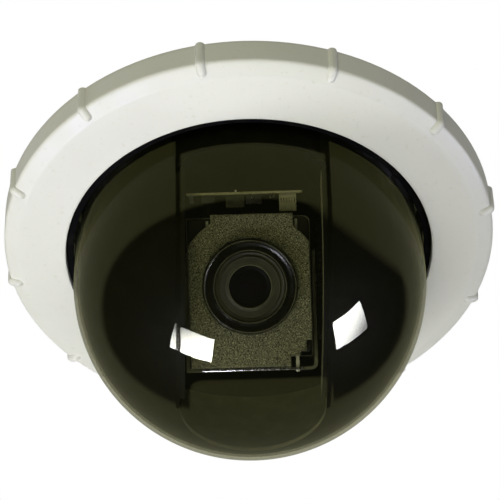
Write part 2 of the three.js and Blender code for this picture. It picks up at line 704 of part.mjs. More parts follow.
// ---------------------------------------------------------------- assembly
function numbered(parent, name, paint, angles, radius, piece) {
  angles.forEach((deg, i) => {
    const mesh = add(parent, `${name}_${i + 1}`, paint, piece());
    mesh.position.set(...polar(radius, deg), 0);
    mesh.rotation.z = rad(deg);
  });
}

function addHousing() {
  add(camera, 'mounting_ring', 'alloy', mountingRing());
  add(camera, 'back_can', 'galvanised', backCan());
  add(camera, 'electronics_cover', 'galvanised', electronicsCover());
  add(camera, 'cable_gland', 'plug', cableGland());
  add(camera, 'chassis_plate', 'galvanised', chassisPlate());
  add(camera, 'pan_bearing_outer', 'steel', panBearingOuter());
  add(camera, 'pan_motor', 'steel', panMotor());
  add(camera, 'main_board', 'board', mainBoard());
  add(camera, 'network_jack', 'steel', networkJack());
  add(camera, 'power_terminal', 'plug', powerTerminal());
  add(camera, 'slip_ring_stator', 'plug', slipRingStator());
  const seat = CAN_LOW + CAN_WALL + GAP;
  numbered(camera, 'can_screw', 'steel', CAN_SCREW_ANGLES, CAN_SCREW_R,
    () => screw(1.25, 3.9, 2.6, 1.8, seat));
  const roofSeat = CAN_H + GAP + CAN_WALL + GAP;
  numbered(camera, 'chassis_screw', 'steel', CHASSIS_SCREW_ANGLES, CHASSIS_SCREW_R,
    () => screw(1.5, 6.6, 2.8, 2, roofSeat));
}

function addClamps() {
  numbered(camera, 'clamp_screw', 'steel', CLAMP_ANGLES, CLAMP_R, clampScrew);
  numbered(camera, 'clamp_arm', 'alloy', CLAMP_ANGLES, CLAMP_R, clampArm);
}

function addTrim() {
  add(camera, 'trim_ring', 'trim', trimRing());
  add(camera, 'dome_bubble', 'smoke', domeBubble());
  add(camera, 'dome_gasket', 'rubber', domeGasket());
  add(camera, 'dome_clamp_ring', 'black', domeClampRing());
  const seat = TRIM_SEAT_Z + 3 * GAP + DOME_WALL + 2;
  numbered(camera, 'dome_clamp_screw', 'steel', DOME_SCREW_ANGLES, DOME_SCREW_R,
    () => screw(1.2, 3.6, 2.6, 1.8, seat));
}

function addTurret() {
  add(camera, 'turntable', 'blackSteel', turntable());
  add(camera, 'pan_hub', 'alloy', panHub());
  add(camera, 'pan_gear', 'nylon', panGear());
  add(camera, 'pan_bearing_inner', 'steel', ring(8 + GAP, 10.4, 19.4, 25.2, 20));
  add(camera, 'slip_ring_rotor', 'brass', slipRingRotor());
  add(camera, 'liner', 'black', slottedLiner());
  add(camera, 'yoke_left', 'blackSteel', yoke(-1));
  add(camera, 'yoke_right', 'blackSteel', yoke(1));
  add(camera, 'tilt_bushing_left', 'brass', tiltBushing(-1));
  add(camera, 'tilt_bushing_right', 'brass', tiltBushing(1));
  add(camera, 'tilt_motor', 'steel', tiltMotor());
  add(camera, 'tilt_pinion', 'brass', tiltPinion());
  add(camera, 'pan_pinion', 'brass', panPinion());
}

function addTiltHead() {
  const head = new THREE.Group();
  head.position.z = TILT_Z;
  head.rotation.x = rad(TILT_REST);
  camera.add(head);
  add(head, 'cradle', 'galvanised', cradle());
  add(head, 'tilt_shaft_left', 'steel', tiltShaft(-1));
  add(head, 'tilt_shaft_right', 'steel', tiltShaft(1));
  add(head, 'tilt_gear', 'black', tiltGear());
  add(head, 'camera_block', 'black', cameraBlock());
  add(head, 'rear_cover', 'black', rearCover());
  add(head, 'foam_pad', 'foam', foamPad());
  add(head, 'lens_barrel', 'black', lensBarrel());
  add(head, 'lens_front_ring', 'black', lensFrontRing());
  add(head, 'front_glass', 'glass', frontGlass());
  add(head, 'zoom_group', 'glass', lensCell(22, 30));
  add(head, 'focus_group', 'glass', lensCell(2, 9));
  add(head, 'ir_cut_filter', 'glass', irCutFilter());
  add(head, 'sensor_board', 'board', sensorBoard());
  add(head, 'camera_board', 'board', cameraBoard());
}

addHousing();
addClamps();
addTrim();
addTurret();
addTiltHead();

export default camera;
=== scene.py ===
import json
import math

import bmesh
import bpy
from mathutils import Matrix, Vector

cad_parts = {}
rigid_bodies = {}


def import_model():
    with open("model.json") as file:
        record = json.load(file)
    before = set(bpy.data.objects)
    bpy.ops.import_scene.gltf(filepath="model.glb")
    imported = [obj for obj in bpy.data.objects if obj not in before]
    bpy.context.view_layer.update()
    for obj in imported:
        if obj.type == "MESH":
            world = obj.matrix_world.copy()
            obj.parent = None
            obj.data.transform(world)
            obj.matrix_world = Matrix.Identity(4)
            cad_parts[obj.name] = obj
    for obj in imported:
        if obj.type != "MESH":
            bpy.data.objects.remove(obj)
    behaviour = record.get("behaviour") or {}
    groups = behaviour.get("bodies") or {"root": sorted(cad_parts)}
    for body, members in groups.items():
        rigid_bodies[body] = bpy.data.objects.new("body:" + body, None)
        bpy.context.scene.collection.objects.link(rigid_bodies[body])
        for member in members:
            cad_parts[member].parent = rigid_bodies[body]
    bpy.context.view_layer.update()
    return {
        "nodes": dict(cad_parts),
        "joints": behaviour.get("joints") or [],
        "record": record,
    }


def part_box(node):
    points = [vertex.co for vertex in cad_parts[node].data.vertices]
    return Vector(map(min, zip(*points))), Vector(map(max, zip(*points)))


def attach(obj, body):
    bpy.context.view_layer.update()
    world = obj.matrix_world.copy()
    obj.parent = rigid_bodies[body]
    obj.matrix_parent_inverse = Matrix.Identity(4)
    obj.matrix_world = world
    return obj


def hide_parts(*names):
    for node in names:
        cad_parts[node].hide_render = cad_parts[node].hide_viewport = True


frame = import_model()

# ------------------------------------------------------------------ measures from the frame
MM = 0.001
TAU = 2 * math.pi
QUARTER = math.pi / 2
JOINTS = {joint["name"]: joint for joint in frame["joints"]}


def low(node):
    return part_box(node)[0]


def high(node):
    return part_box(node)[1]


TILT_AT = Vector(JOINTS["tilt"]["pos_m"])
LENS_WAY = Vector(JOINTS["zoom_slide"]["axis"]).normalized()
TILT_REST = math.atan2(-LENS_WAY.z, -LENS_WAY.y)
HEAD = Matrix.Translation(TILT_AT) @ Matrix.Rotation(TILT_REST, 4, "X")
LENS = HEAD @ Matrix.Rotation(QUARTER, 4, "X")

TRIM_R = high("trim_ring").x
TRIM_LIP_Z = low("trim_ring").z
DOME_R = TILT_AT.z - low("dome_bubble").z
SEAT_Z = high("dome_gasket").z
LIP_R = high("dome_gasket").x + 0.3 * MM
LINER_R = high("liner").x
LINER_TOP = high("liner").z
THIRDS = (0, 120, 240)
CLAMP_ANGLES = (90, 210, 330)
CAN_SCREW_ANGLES = (30, 150, 270)
LUG_ANGLES = (60, 180, 300)
CLAMP_R = 85.5  # this radius and the next three are in millimetres
CAN_SCREW_R = 88
CHASSIS_SCREW_R = 58.5
DOME_SCREW_R = 93


# ------------------------------------------------------------------ outlines
def arc(cx, cy, radius, start, stop, steps):
    """Points on a circle between two angles in degrees."""
    points = []
    for k in range(steps + 1):
        a = math.radians(start + (stop - start) * k / steps)
        points.append((cx + radius * math.cos(a), cy + radius * math.sin(a)))
    return points


def quarter(radius, steps):
    """A quarter circle in (radius, z), from under the dome's centre out to its side."""
    points = arc(0, TILT_AT.z, radius, -90, 0, steps)
    points[0] = (0.0, TILT_AT.z - radius)
    return points


def rounded(points, reach=0.0, steps=4):
    """An outline with its corners rounded. A point may carry its own reach as a third number."""
    out = []
    for i, point in enumerate(points):
        here = Vector(point[:2])
        size = point[2] if len(point) > 2 else reach
        before = Vector(points[i - 1][:2]) - here
        after = Vector(points[(i + 1) % len(points)][:2]) - here
        size = min(size, 0.49 * before.length, 0.49 * after.length)
        if size <= 0 or here.x < 1e-9:
            out.append(tuple(here))
            continue
        a = here + before.normalized() * size
        b = here + after.normalized() * size
        for k in range(steps + 1):
            t = k / steps
            out.append(tuple((1 - t) ** 2 * a + 2 * t * (1 - t) * here + t * t * b))
    return out


def block(x0, x1, y0, y1):
    return [(x0, y0), (x1, y0), (x1, y1), (x0, y1)]


def mm(points):
    """Points given in millimetres, turned into metres."""
    return [(x * MM, y * MM) for x, y in points]


# ------------------------------------------------------------------ meshes
def placed(name, data):
    """A new object in the scene."""
    made = bpy.data.objects.new(name, data)
    bpy.context.scene.collection.objects.link(made)
    return made


def finish_mesh(bm, name, sharp=32):
    """Welds, faces outward, smooths, and keeps edges sharper than `sharp` degrees."""
    bmesh.ops.remove_doubles(bm, verts=bm.verts, dist=1e-7)
    bmesh.ops.recalc_face_normals(bm, faces=bm.faces)
    for face in bm.faces:
        face.smooth = True
    for edge in bm.edges:
        if len(edge.link_faces) == 2:
            edge.smooth = edge.calc_face_angle(0) < math.radians(sharp)
    mesh = bpy.data.meshes.new(name)
    bm.to_mesh(mesh)
    bm.free()
    return placed(name, mesh)


def turned(name, profile, steps=96, sharp=32):
    """A solid of revolution about Z from an outline of (radius, z)."""
    bm = bmesh.new()
    rings = []
    for r, z in profile:
        if r < 1e-9:
            rings.append([bm.verts.new((0, 0, z))])
            continue
        turns = [TAU * k / steps for k in range(steps)]
        rings.append([bm.verts.new((r * math.cos(a), r * math.sin(a), z)) for a in turns])
    touches_axis = any(len(ring) == 1 for ring in rings)
    pairs = list(zip(rings, rings[1:]))
    if not touches_axis:
        pairs.append((rings[-1], rings[0]))
    for a, b in pairs:
        bridge(bm, a, b, steps)
    return finish_mesh(bm, name, sharp)


def bridge(bm, a, b, steps):
    """Faces between two rings of vertices, either of which may be a single point."""
    for k in range(steps):
        n = (k + 1) % steps
        if len(a) == 1 and len(b) > 1:
            bm.faces.new((a[0], b[k], b[n]))
        elif len(b) == 1 and len(a) > 1:
            bm.faces.new((a[k], a[n], b[0]))
        elif len(a) > 1:
            bm.faces.new((a[k], a[n], b[n], b[k]))


def evaluated(holder):
    """The mesh that an object gives once its curve or modifiers are worked out. The object is removed."""
    bpy.context.view_layer.update()
    graph = bpy.context.evaluated_depsgraph_get()
    mesh = bpy.data.meshes.new_from_object(holder.evaluated_get(graph))
    bpy.data.objects.remove(holder)
    bm = bmesh.new()
    bm.from_mesh(mesh)
    return bm


def slab(name, outline, bottom, top, edge=0.0, holes=(), sharp=32):
    """An outline in X and Y raised along Z, with holes and a rounded edge of that size."""
    curve = bpy.data.curves.new(name, "CURVE")
    curve.dimensions = "2D"
    curve.fill_mode = "BOTH"
    curve.extrude = (top - bottom) / 2 - edge
    curve.bevel_depth = edge
    curve.bevel_resolution = 2
    curve.offset = -edge
    for loop in (outline, *holes):
        spline = curve.splines.new("POLY")
        spline.points.add(len(loop) - 1)
        spline.use_cyclic_u = True
        for point, (x, y) in zip(spline.points, loop):
            point.co = (x, y, 0, 1)
    bm = evaluated(placed(name, curve))
    bmesh.ops.translate(bm, verts=bm.verts, vec=(0, 0, (top + bottom) / 2))
    return finish_mesh(bm, name, sharp)


def moved(piece, matrix):
    piece.data.transform(matrix)
    return piece


def joined(name, pieces):
    """Several meshes as one piece."""
    bm = bmesh.new()
    for piece in pieces:
        bm.from_mesh(piece.data)
        bpy.data.objects.remove(piece)
    mesh = bpy.data.meshes.new(name)
    bm.to_mesh(mesh)
    bm.free()
    return placed(name, mesh)


def boolean(piece, tools, operation="DIFFERENCE", sharp=32):
    """Cuts the tools out of a piece, or keeps what they share. The tools are used up."""
    for tool in tools:
        step = piece.modifiers.new("cut", "BOOLEAN")
        step.operation = operation
        step.solver = "EXACT"
        step.object = tool
    name = piece.name
    bm = evaluated(piece)
    for tool in tools:
        bpy.data.objects.remove(tool)
    bmesh.ops.dissolve_degenerate(bm, dist=1e-7, edges=bm.edges)
    return finish_mesh(bm, name, sharp)


def bar(name, x, y, z, edge=0.0):
    """A block between three pairs of limits, with rounded edges."""
    reach = min(edge, 0.45 * (x[1] - x[0]), 0.45 * (y[1] - y[0]))
    outline = rounded(block(x[0], x[1], y[0], y[1]), reach, 3)
    edge = min(edge, 0.3 * (z[1] - z[0]))
    return slab(name, outline, z[0], z[1], edge * 0.6)


def bar_mm(name, x, y, z, edge):
    """The same with every size in millimetres."""
    return bar(name, *([value * MM for value in limits] for limits in (x, y, z)), edge * MM)


# ------------------------------------------------------------------ materials
def feed(tree, socket, value):
    """Links a socket to another one, or gives it a fixed value."""
    if isinstance(value, bpy.types.NodeSocket):
        tree.links.new(value, socket)
    else:
        socket.default_value = value


def math_node(tree, operation, *values):
    made = tree.nodes.new("ShaderNodeMath")
    made.operation = operation
    for socket, value in zip(made.inputs, values):
        feed(tree, socket, value)
    return made.outputs[0]


def range_node(tree, source, low_value, high_value, start, stop):
    """Goes from low_value to high_value while the source goes from start to stop, and no further."""
    made = tree.nodes.new("ShaderNodeMapRange")
    tree.links.new(source, made.inputs["Value"])
    limits = {"From Min": start, "From Max": stop, "To Min": low_value, "To Max": high_value}
    for key, value in limits.items():
        made.inputs[key].default_value = value
    return made.outputs[0]


class Surface:
    """A Principled material, with helpers that add procedural detail in object space."""

    def __init__(self, name, colour, rough, metal=0.0):
        self.material = bpy.data.materials.new(name)
        self.material.use_nodes = True
        self.tree = self.material.node_tree
        self.shader = self.tree.nodes["Principled BSDF"]
        self.shader.inputs["Base Color"].default_value = (*colour, 1)
        self.shader.inputs["Roughness"].default_value = rough
        self.shader.inputs["Metallic"].default_value = metal
        self.colour = colour
        self.rough = rough
        self.place = self.tree.nodes.new("ShaderNodeTexCoord").outputs["Object"]
        self.height = None

    def set(self, **values):
        for key, value in values.items():
            self.shader.inputs[key.replace("_", " ")].default_value = value
        return self

    def node(self, kind, **inputs):
        made = self.tree.nodes.new(kind)
        for key, value in inputs.items():
            feed(self.tree, made.inputs[key.replace("_", " ")], value)
        return made

    def math(self, operation, *values):
        return math_node(self.tree, operation, *values)

    def noise(self, scale, detail=3.0, stretch=None):
        where = self.place
        if stretch:
            where = self.node("ShaderNodeMapping", Vector=where, Scale=stretch).outputs[0]
        made = self.node("ShaderNodeTexNoise", Vector=where, Scale=scale, Detail=detail)
        return made.outputs["Fac"]

    def cells(self, scale):
        return self.node("ShaderNodeTexVoronoi", Vector=self.place, Scale=scale)

    def ramp(self, source, low_value, high_value, start, stop):
        return range_node(self.tree, source, low_value, high_value, start, stop)

    def mix(self, factor, first, second):
        made = self.tree.nodes.new("ShaderNodeMix")
        made.data_type = "RGBA"
        for socket, value in ((made.inputs[0], factor), (made.inputs[6], first), (made.inputs[7], second)):
            if isinstance(value, tuple):
                value = (*value, 1)
            feed(self.tree, socket, value)
        return made.outputs[2]

    def tint(self, source, other, start=0.35, stop=0.65):
        """Blends the present colour towards `other` where `source` is high."""
        base = self.shader.inputs["Base Color"]
        present = base.links[0].from_socket if base.links else self.colour
        mask = self.ramp(source, 0.0, 1.0, start, stop)
        self.tree.links.new(self.mix(mask, present, other), base)
        return self

    def vary_rough(self, source, spread, start=0.3, stop=0.7):
        low_value = max(0.0, self.rough - spread)
        high_value = min(1.0, self.rough + spread)
        varied = self.ramp(source, low_value, high_value, start, stop)
        self.tree.links.new(varied, self.shader.inputs["Roughness"])
        return self

    def bump(self, source, depth, strength=1.0):
        """Adds relief of `depth` metres."""
        made = self.node("ShaderNodeBump", Height=source, Distance=depth, Strength=strength)
        if self.height is not None:
            self.tree.links.new(self.height, made.inputs["Normal"])
        self.height = made.outputs[0]
        self.tree.links.new(self.height, self.shader.inputs["Normal"])
        return self

    def worn_edges(self, bright):
        """Lightens convex edges a little, as handling does."""
        geometry = self.tree.nodes.new("ShaderNodeNewGeometry")
        return self.tint(geometry.outputs["Pointiness"], bright, 0.53, 0.93)


def trim_white():
    s = Surface("trim_white", (0.79, 0.793, 0.735), 0.55)
    s.set(Specular_IOR_Level=0.25)
    s.tint(s.noise(18, 4), (0.75, 0.752, 0.685), 0.45, 0.75)
    s.tint(s.noise(420, 2), (0.73, 0.73, 0.645), 0.62, 0.80)
    s.vary_rough(s.noise(60, 4), 0.08)
    s.bump(s.noise(1500, 2), 0.00006, 0.35)
    s.bump(s.noise(120, 3), 0.00010, 0.25)
    return s.material


WINDOW_TURN = math.radians(2.2)  # the slot's turn about the pan axis, against straight ahead
HOOP_Z = (-30.3 * MM, -29.0 * MM)  # where the painted shade of the black hoop over the slot fades in
BAND_Z = (-20.9 * MM, -20.1 * MM)  # where the painted shade of the dark band under the trim ring fades in
# half width of the painted shade over the slot, and where the painted shade lines at its sides lie
HOOP_HALF = (30.6 * MM, 31.0 * MM)
LINE_AT = 31.2 * MM
LINE_HALF = (0.7 * MM, 1.3 * MM)
LIMB_POWER = 3.4
# the mirror share left where shade is painted on the dome
PAINTED_SHADE_GLOSS = 0.015


def painted_shade_mask(s):
    """1 where the dome's reflection is painted away, which paints shade: the hoop over the slot, the band at
    the rim, a line at each side.
    """
    turned_back = s.node("ShaderNodeVectorRotate", Vector=s.place, Angle=-WINDOW_TURN)
    turned_back.rotation_type = "Z_AXIS"
    place = s.node("ShaderNodeSeparateXYZ", Vector=turned_back.outputs[0]).outputs
    aside = s.math("ABSOLUTE", place["X"])
    ahead = s.ramp(place["Y"], 1, 0, 3 * MM, 4 * MM)
    within = s.math("MULTIPLY", s.ramp(aside, 1, 0, *HOOP_HALF), ahead)
    hoop = s.math("MULTIPLY", s.ramp(place["Z"], 0, 1, *HOOP_Z), within)
    band = s.ramp(place["Z"], 0, 1, *BAND_Z)
    off_line = s.math("ABSOLUTE", s.math("SUBTRACT", aside, LINE_AT))
    line = s.math("MULTIPLY", s.ramp(off_line, 1, 0, *LINE_HALF), ahead)
    return s.math("MAXIMUM", s.math("MAXIMUM", hoop, band), line)


def smoked_dome(name, gloss, tint, ior):
    """Smoked acrylic: a share of dark mirror, more of it towards the limb, almost none where shade is
    painted, and the rest shows through.
    """
    s = Surface(name, (0.010, 0.010, 0.006), 0.02)
    s.set(IOR=ior, Specular_Tint=(1.0, 1.0, 0.46, 1))
    s.bump(s.noise(22, 2), 0.00006, 0.08)
    through = s.node("ShaderNodeBsdfTransparent", Color=(*tint, 1))
    facing = s.node("ShaderNodeLayerWeight", Blend=0.5).outputs["Facing"]
    # painted shade: the dome loses its reflection on the hoop, the rim band and the side lines
    painted_shade = painted_shade_mask(s)
    limb = s.math("MULTIPLY", s.math("POWER", facing, LIMB_POWER), s.ramp(painted_shade, 1, 0, 0, 1))
    share = s.math("MAXIMUM", s.ramp(painted_shade, gloss, PAINTED_SHADE_GLOSS, 0, 1), limb)
    mixer = s.tree.nodes.new("ShaderNodeMixShader")
    for socket, source in zip(mixer.inputs, (share, through.outputs[0], s.shader.outputs[0])):
        s.tree.links.new(source, socket)
    s.tree.links.new(mixer.outputs[0], s.tree.nodes["Material Output"].inputs["Surface"])
    return s.material


def black_plastic(name="black_plastic", colour=(0.020, 0.020, 0.016), rough=0.45, specular=0.5):
    s = Surface(name, colour, rough)
    s.set(Specular_IOR_Level=specular)
    s.tint(s.noise(90, 4), tuple(1.7 * c for c in colour), 0.45, 0.8)
    s.vary_rough(s.noise(140, 3), 0.10)
    s.bump(s.noise(2600, 2), 0.00004, 0.35)
    return s.material


def flocked_foam():
    s = Surface("foam", (0.215, 0.213, 0.15), 0.95)
    s.tint(s.noise(2100, 2), (0.03, 0.03, 0.02), 0.46, 0.58)
    s.tint(s.noise(2600, 2), (0.66, 0.66, 0.50), 0.55, 0.66)
    s.set(Sheen_Weight=0.3, Sheen_Roughness=0.5)
    s.bump(s.noise(2100, 2), 0.0004, 0.9)
    return s.material


def galvanised():
    s = Surface("galvanised_steel", (0.56, 0.57, 0.575), 0.38, 0.9)
    spangle = s.cells(210)
    grey = s.node("ShaderNodeRGBToBW", Color=spangle.outputs["Color"]).outputs[0]
    s.tint(grey, (0.63, 0.64, 0.65), 0.2, 0.9)
    s.tint(s.noise(30, 5), (0.43, 0.44, 0.45), 0.52, 0.8)
    s.vary_rough(grey, 0.06, 0.1, 0.9)
    s.bump(s.noise(260, 4), 0.00005, 0.3)
    s.bump(s.noise(9, 3), 0.0004, 0.25)
    return s.material


def black_steel():
    s = Surface("black_steel", (0.024, 0.024, 0.020), 0.38)
    s.tint(s.noise(70, 4), (0.045, 0.044, 0.036), 0.45, 0.75)
    s.vary_rough(s.noise(160, 3), 0.10)
    s.bump(s.noise(1500, 2), 0.00005, 0.4)
    s.set(Coat_Weight=0.25, Coat_Roughness=0.25)
    return s.material


def bare_edge():
    s = Surface("bare_sheet_steel", (0.85, 0.85, 0.78), 0.35, 0.25)
    s.tint(s.noise(160, 4, (1, 1, 8)), (0.60, 0.60, 0.54), 0.5, 0.8)
    s.vary_rough(s.noise(700, 3, (1, 1, 12)), 0.12)
    s.bump(s.noise(1500, 2), 0.00003, 0.3)
    return s.material


def cast_alloy():
    s = Surface("cast_alloy", (0.42, 0.43, 0.44), 0.5, 0.85)
    s.tint(s.noise(45, 5), (0.33, 0.335, 0.34), 0.45, 0.75)
    s.vary_rough(s.noise(200, 4), 0.12)
    s.bump(s.noise(900, 3), 0.00012, 0.45)
    s.worn_edges((0.66, 0.67, 0.68))
    return s.material


def bright_steel():
    s = Surface("bright_steel", (0.60, 0.60, 0.585), 0.26, 1.0)
    s.tint(s.noise(60, 4), (0.48, 0.48, 0.47), 0.5, 0.8)
    s.vary_rough(s.noise(900, 3, (1, 1, 0.1)), 0.10)
    s.bump(s.noise(1400, 2, (1, 1, 0.08)), 0.00002, 0.3)
    return s.material


def brass():
    s = Surface("brass", (0.60, 0.44, 0.18), 0.3, 1.0)
    s.tint(s.noise(120, 4), (0.42, 0.28, 0.10), 0.5, 0.85)
    s.vary_rough(s.noise(500, 3), 0.12)
    s.bump(s.noise(1200, 2, (1, 1, 0.1)), 0.00002, 0.3)
    return s.material


def nylon():
    s = Surface("nylon", (0.62, 0.60, 0.50), 0.5)
    s.tint(s.noise(80, 3), (0.55, 0.52, 0.42), 0.45, 0.8)
    s.set(Subsurface_Weight=0.1, Subsurface_Scale=0.002)
    s.bump(s.noise(800, 2), 0.00003, 0.3)
    return s.material


def solder_mask():
    """Green board with copper tracks under the lacquer and a speckle of vias."""
    s = Surface("circuit_board", (0.012, 0.075, 0.030), 0.35)
    tracks = s.node("ShaderNodeTexBrick", Vector=s.place, Scale=260, Mortar_Size=0.03)
    s.tint(tracks.outputs["Fac"], (0.030, 0.150, 0.055), 0.3, 0.7)
    vias = s.math("SUBTRACT", 1.0, s.cells(420).outputs["Distance"])
    s.tint(vias, (0.50, 0.44, 0.24), 0.90, 0.96)
    s.bump(tracks.outputs["Fac"], 0.00003, 0.4)
    s.vary_rough(s.noise(300, 2), 0.08)
    return s.material


def board_edge():
    s = Surface("board_edge", (0.42, 0.40, 0.26), 0.6)
    s.tint(s.noise(900, 3, (1, 1, 3)), (0.26, 0.25, 0.15), 0.45, 0.7)
    s.bump(s.noise(1500, 3), 0.00005, 0.5)
    return s.material


def coated_glass():
    """Front lens: nearly black, with the coloured mirror of its coating."""
    s = Surface("optical_glass", (0.006, 0.006, 0.008), 0.02)
    s.set(IOR=1.6, Coat_Weight=0.6, Coat_Roughness=0.02, Coat_Tint=(0.55, 0.75, 1.0, 1))
    s.tint(s.noise(120, 1), (0.010, 0.006, 0.016), 0.4, 0.7)
    s.bump(s.noise(60, 1), 0.00001, 0.1)
    return s.material


def rubber():
    s = Surface("rubber", (0.003, 0.003, 0.002), 0.9)
    s.set(Specular_IOR_Level=0.03)
    s.tint(s.noise(200, 3), (0.009, 0.009, 0.006), 0.5, 0.8)
    s.bump(s.noise(1300, 3), 0.00012, 0.5)
    return s.material


def ivory_plastic():
    s = Surface("connector_plastic", (0.55, 0.54, 0.42), 0.4)
    s.tint(s.noise(300, 2), (0.42, 0.41, 0.31), 0.45, 0.75)
    s.bump(s.noise(1500, 2), 0.00003, 0.3)
    return s.material


FINISH = {
    "trim_white": trim_white(),
    "smoked_acrylic": smoked_dome("smoked_acrylic", 0.30, (0.86, 0.86, 0.72), 2.0),
    "smoked_inside": smoked_dome("smoked_inside", 0.03, (0.93, 0.93, 0.85), 1.5),
    "black_plastic": black_plastic(),
    "lens_plastic": black_plastic("lens_plastic", (0.055, 0.055, 0.038), 0.55),
    "liner_plastic": black_plastic("liner_plastic", (0.006, 0.006, 0.002), 0.6, 0.06),
    "liner_inside": black_plastic("liner_inside", (0.20, 0.20, 0.13), 0.6),
    "gloss_black": black_plastic("gloss_black", (0.008, 0.008, 0.006), 0.3),
    # lighter black: on the face frame and the barrel's rims its lightness paints highlights along edges; on
    # the cradle it is the paint's colour
    "worn_black": black_plastic("worn_black", (0.15, 0.15, 0.115), 0.35),
    "foam": flocked_foam(),
    "rubber": rubber(),
    "galvanised_steel": galvanised(),
    "black_steel": black_steel(),
    "bare_steel": bare_edge(),
    "cast_alloy": cast_alloy(),
    "bright_steel": bright_steel(),
    "brass": brass(),
    "nylon": nylon(),
    "moulded_plastic": black_plastic("moulded_plastic", (0.035, 0.035, 0.036), 0.5),
    "circuit_board": solder_mask(),
    "board_edge": board_edge(),
    "optical_glass": coated_glass(),
    "connector_plastic": ivory_plastic(),
}
BODY_OF = {node: body for body, nodes in frame["record"]["behaviour"]["bodies"].items() for node in nodes}


def dress(piece, finish, *nodes, like=None):
    """Gives a piece its finish, puts it on its node's body, and hides the CAD nodes that it stands for."""
    piece.data.materials.clear()
    piece.data.materials.append(FINISH[finish])
    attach(piece, BODY_OF[like or nodes[0]])
    if nodes:
        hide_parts(*nodes)
    return piece


def carried(finish, *nodes, edge=0.25 * MM):
    """Keeps CAD nodes whose shape is right, with small rounded edges and a finish."""
    for node in nodes:
        piece = frame["nodes"][node]
        piece.data.materials.clear()
        piece.data.materials.append(FINISH[finish])
        soften = piece.modifiers.new("edges", "BEVEL")
        soften.width = edge
        soften.segments = 2
        soften.limit_method = "ANGLE"
        soften.angle_limit = math.radians(38)


def spot(radius, degrees, z=0.0):
    """A place round the axis, turned to face outward; radius and height in millimetres."""
    a = math.radians(degrees)
    radius *= MM
    at = (radius * math.cos(a), radius * math.sin(a), z * MM)
    return Matrix.Translation(at) @ Matrix.Rotation(a, 4, "Z")


# ------------------------------------------------------------------ fasteners
def cross_recess(reach, half, bottom, top):
    """The two crossed bars that cut a screwdriver's recess."""
    arms = [bar("arm", (-reach, reach), (-half, half), (bottom, top)) for _ in range(2)]
    moved(arms[1], Matrix.Rotation(QUARTER, 4, "Z"))
    return arms


def screw_mesh(name, shank_r, length, head_r, head_h, pitch=0.5 * MM):
    """Pan-head screw about Z with its seat at 0: rolled thread, domed head and a cross recess."""
    head = [(0, head_h)]
    head += [(head_r * math.sin(a), head_h * (0.45 + 0.55 * math.cos(a))) for a in (0.4, 0.8, 1.2, 1.5)]
    head += [(head_r, 0.15 * head_h), (head_r * 0.97, 0.0), (shank_r, 0.0)]
    thread = []
    turns = int((length - 0.6 * MM) / pitch)
    for k in range(turns):
        z = -0.2 * MM - k * pitch
        thread += [(shank_r, z), (shank_r * 0.86, z - 0.5 * pitch)]
    tip = [(shank_r * 0.9, -length + 0.3 * MM), (shank_r * 0.6, -length), (0, -length)]
    body = turned(name, head + thread + tip, 24)
    return boolean(body, cross_recess(0.6 * head_r, 0.13 * head_r, 0.4 * head_h, 2 * head_h))


def screw_set(node, radius, angles, seat, *sizes):
    """Screws round the axis. Sizes in millimetres: shank radius, length, head radius, head height."""
    pattern = screw_mesh(f"{node}_pattern", *(size * MM for size in sizes))
    for k, angle in enumerate(angles):
        name = f"{node}_{k + 1}"
        piece = placed(f"{name}_fine", pattern.data.copy())
        dress(moved(piece, spot(radius, angle, seat)), "bright_steel", name)
    bpy.data.objects.remove(pattern)


# ------------------------------------------------------------------ trim ring
RIB_COUNT = 12
RIB_FIRST = math.radians(20.33)
RIB_R = 2.1 * MM
RIB_SUNK = 0.5 * MM  # how far the rib's axis lies under the wall
RIB_SUNK_BELOW = 0.25 * MM  # the same, from the wall's foot on
RIB_OVERRUN = 2.2 * MM
RIB_COLUMNS = (0, 0.45, 0.85, 1.2, 1.48, 1.68, 1.82, 1.92, 1.98, 2.04, 2.09, 2.3, 3.2)
FOOT_ROW = 10  # points of the outer profile: the wall's foot, then the shoulder's first
SHOULDER_ROW = 12
WALL_FOOT_Z = -12.3 * MM
BEVEL_R = 100.3 * MM
BEVEL_Z = -15.65 * MM
TRIM_WALL = 2.6 * MM


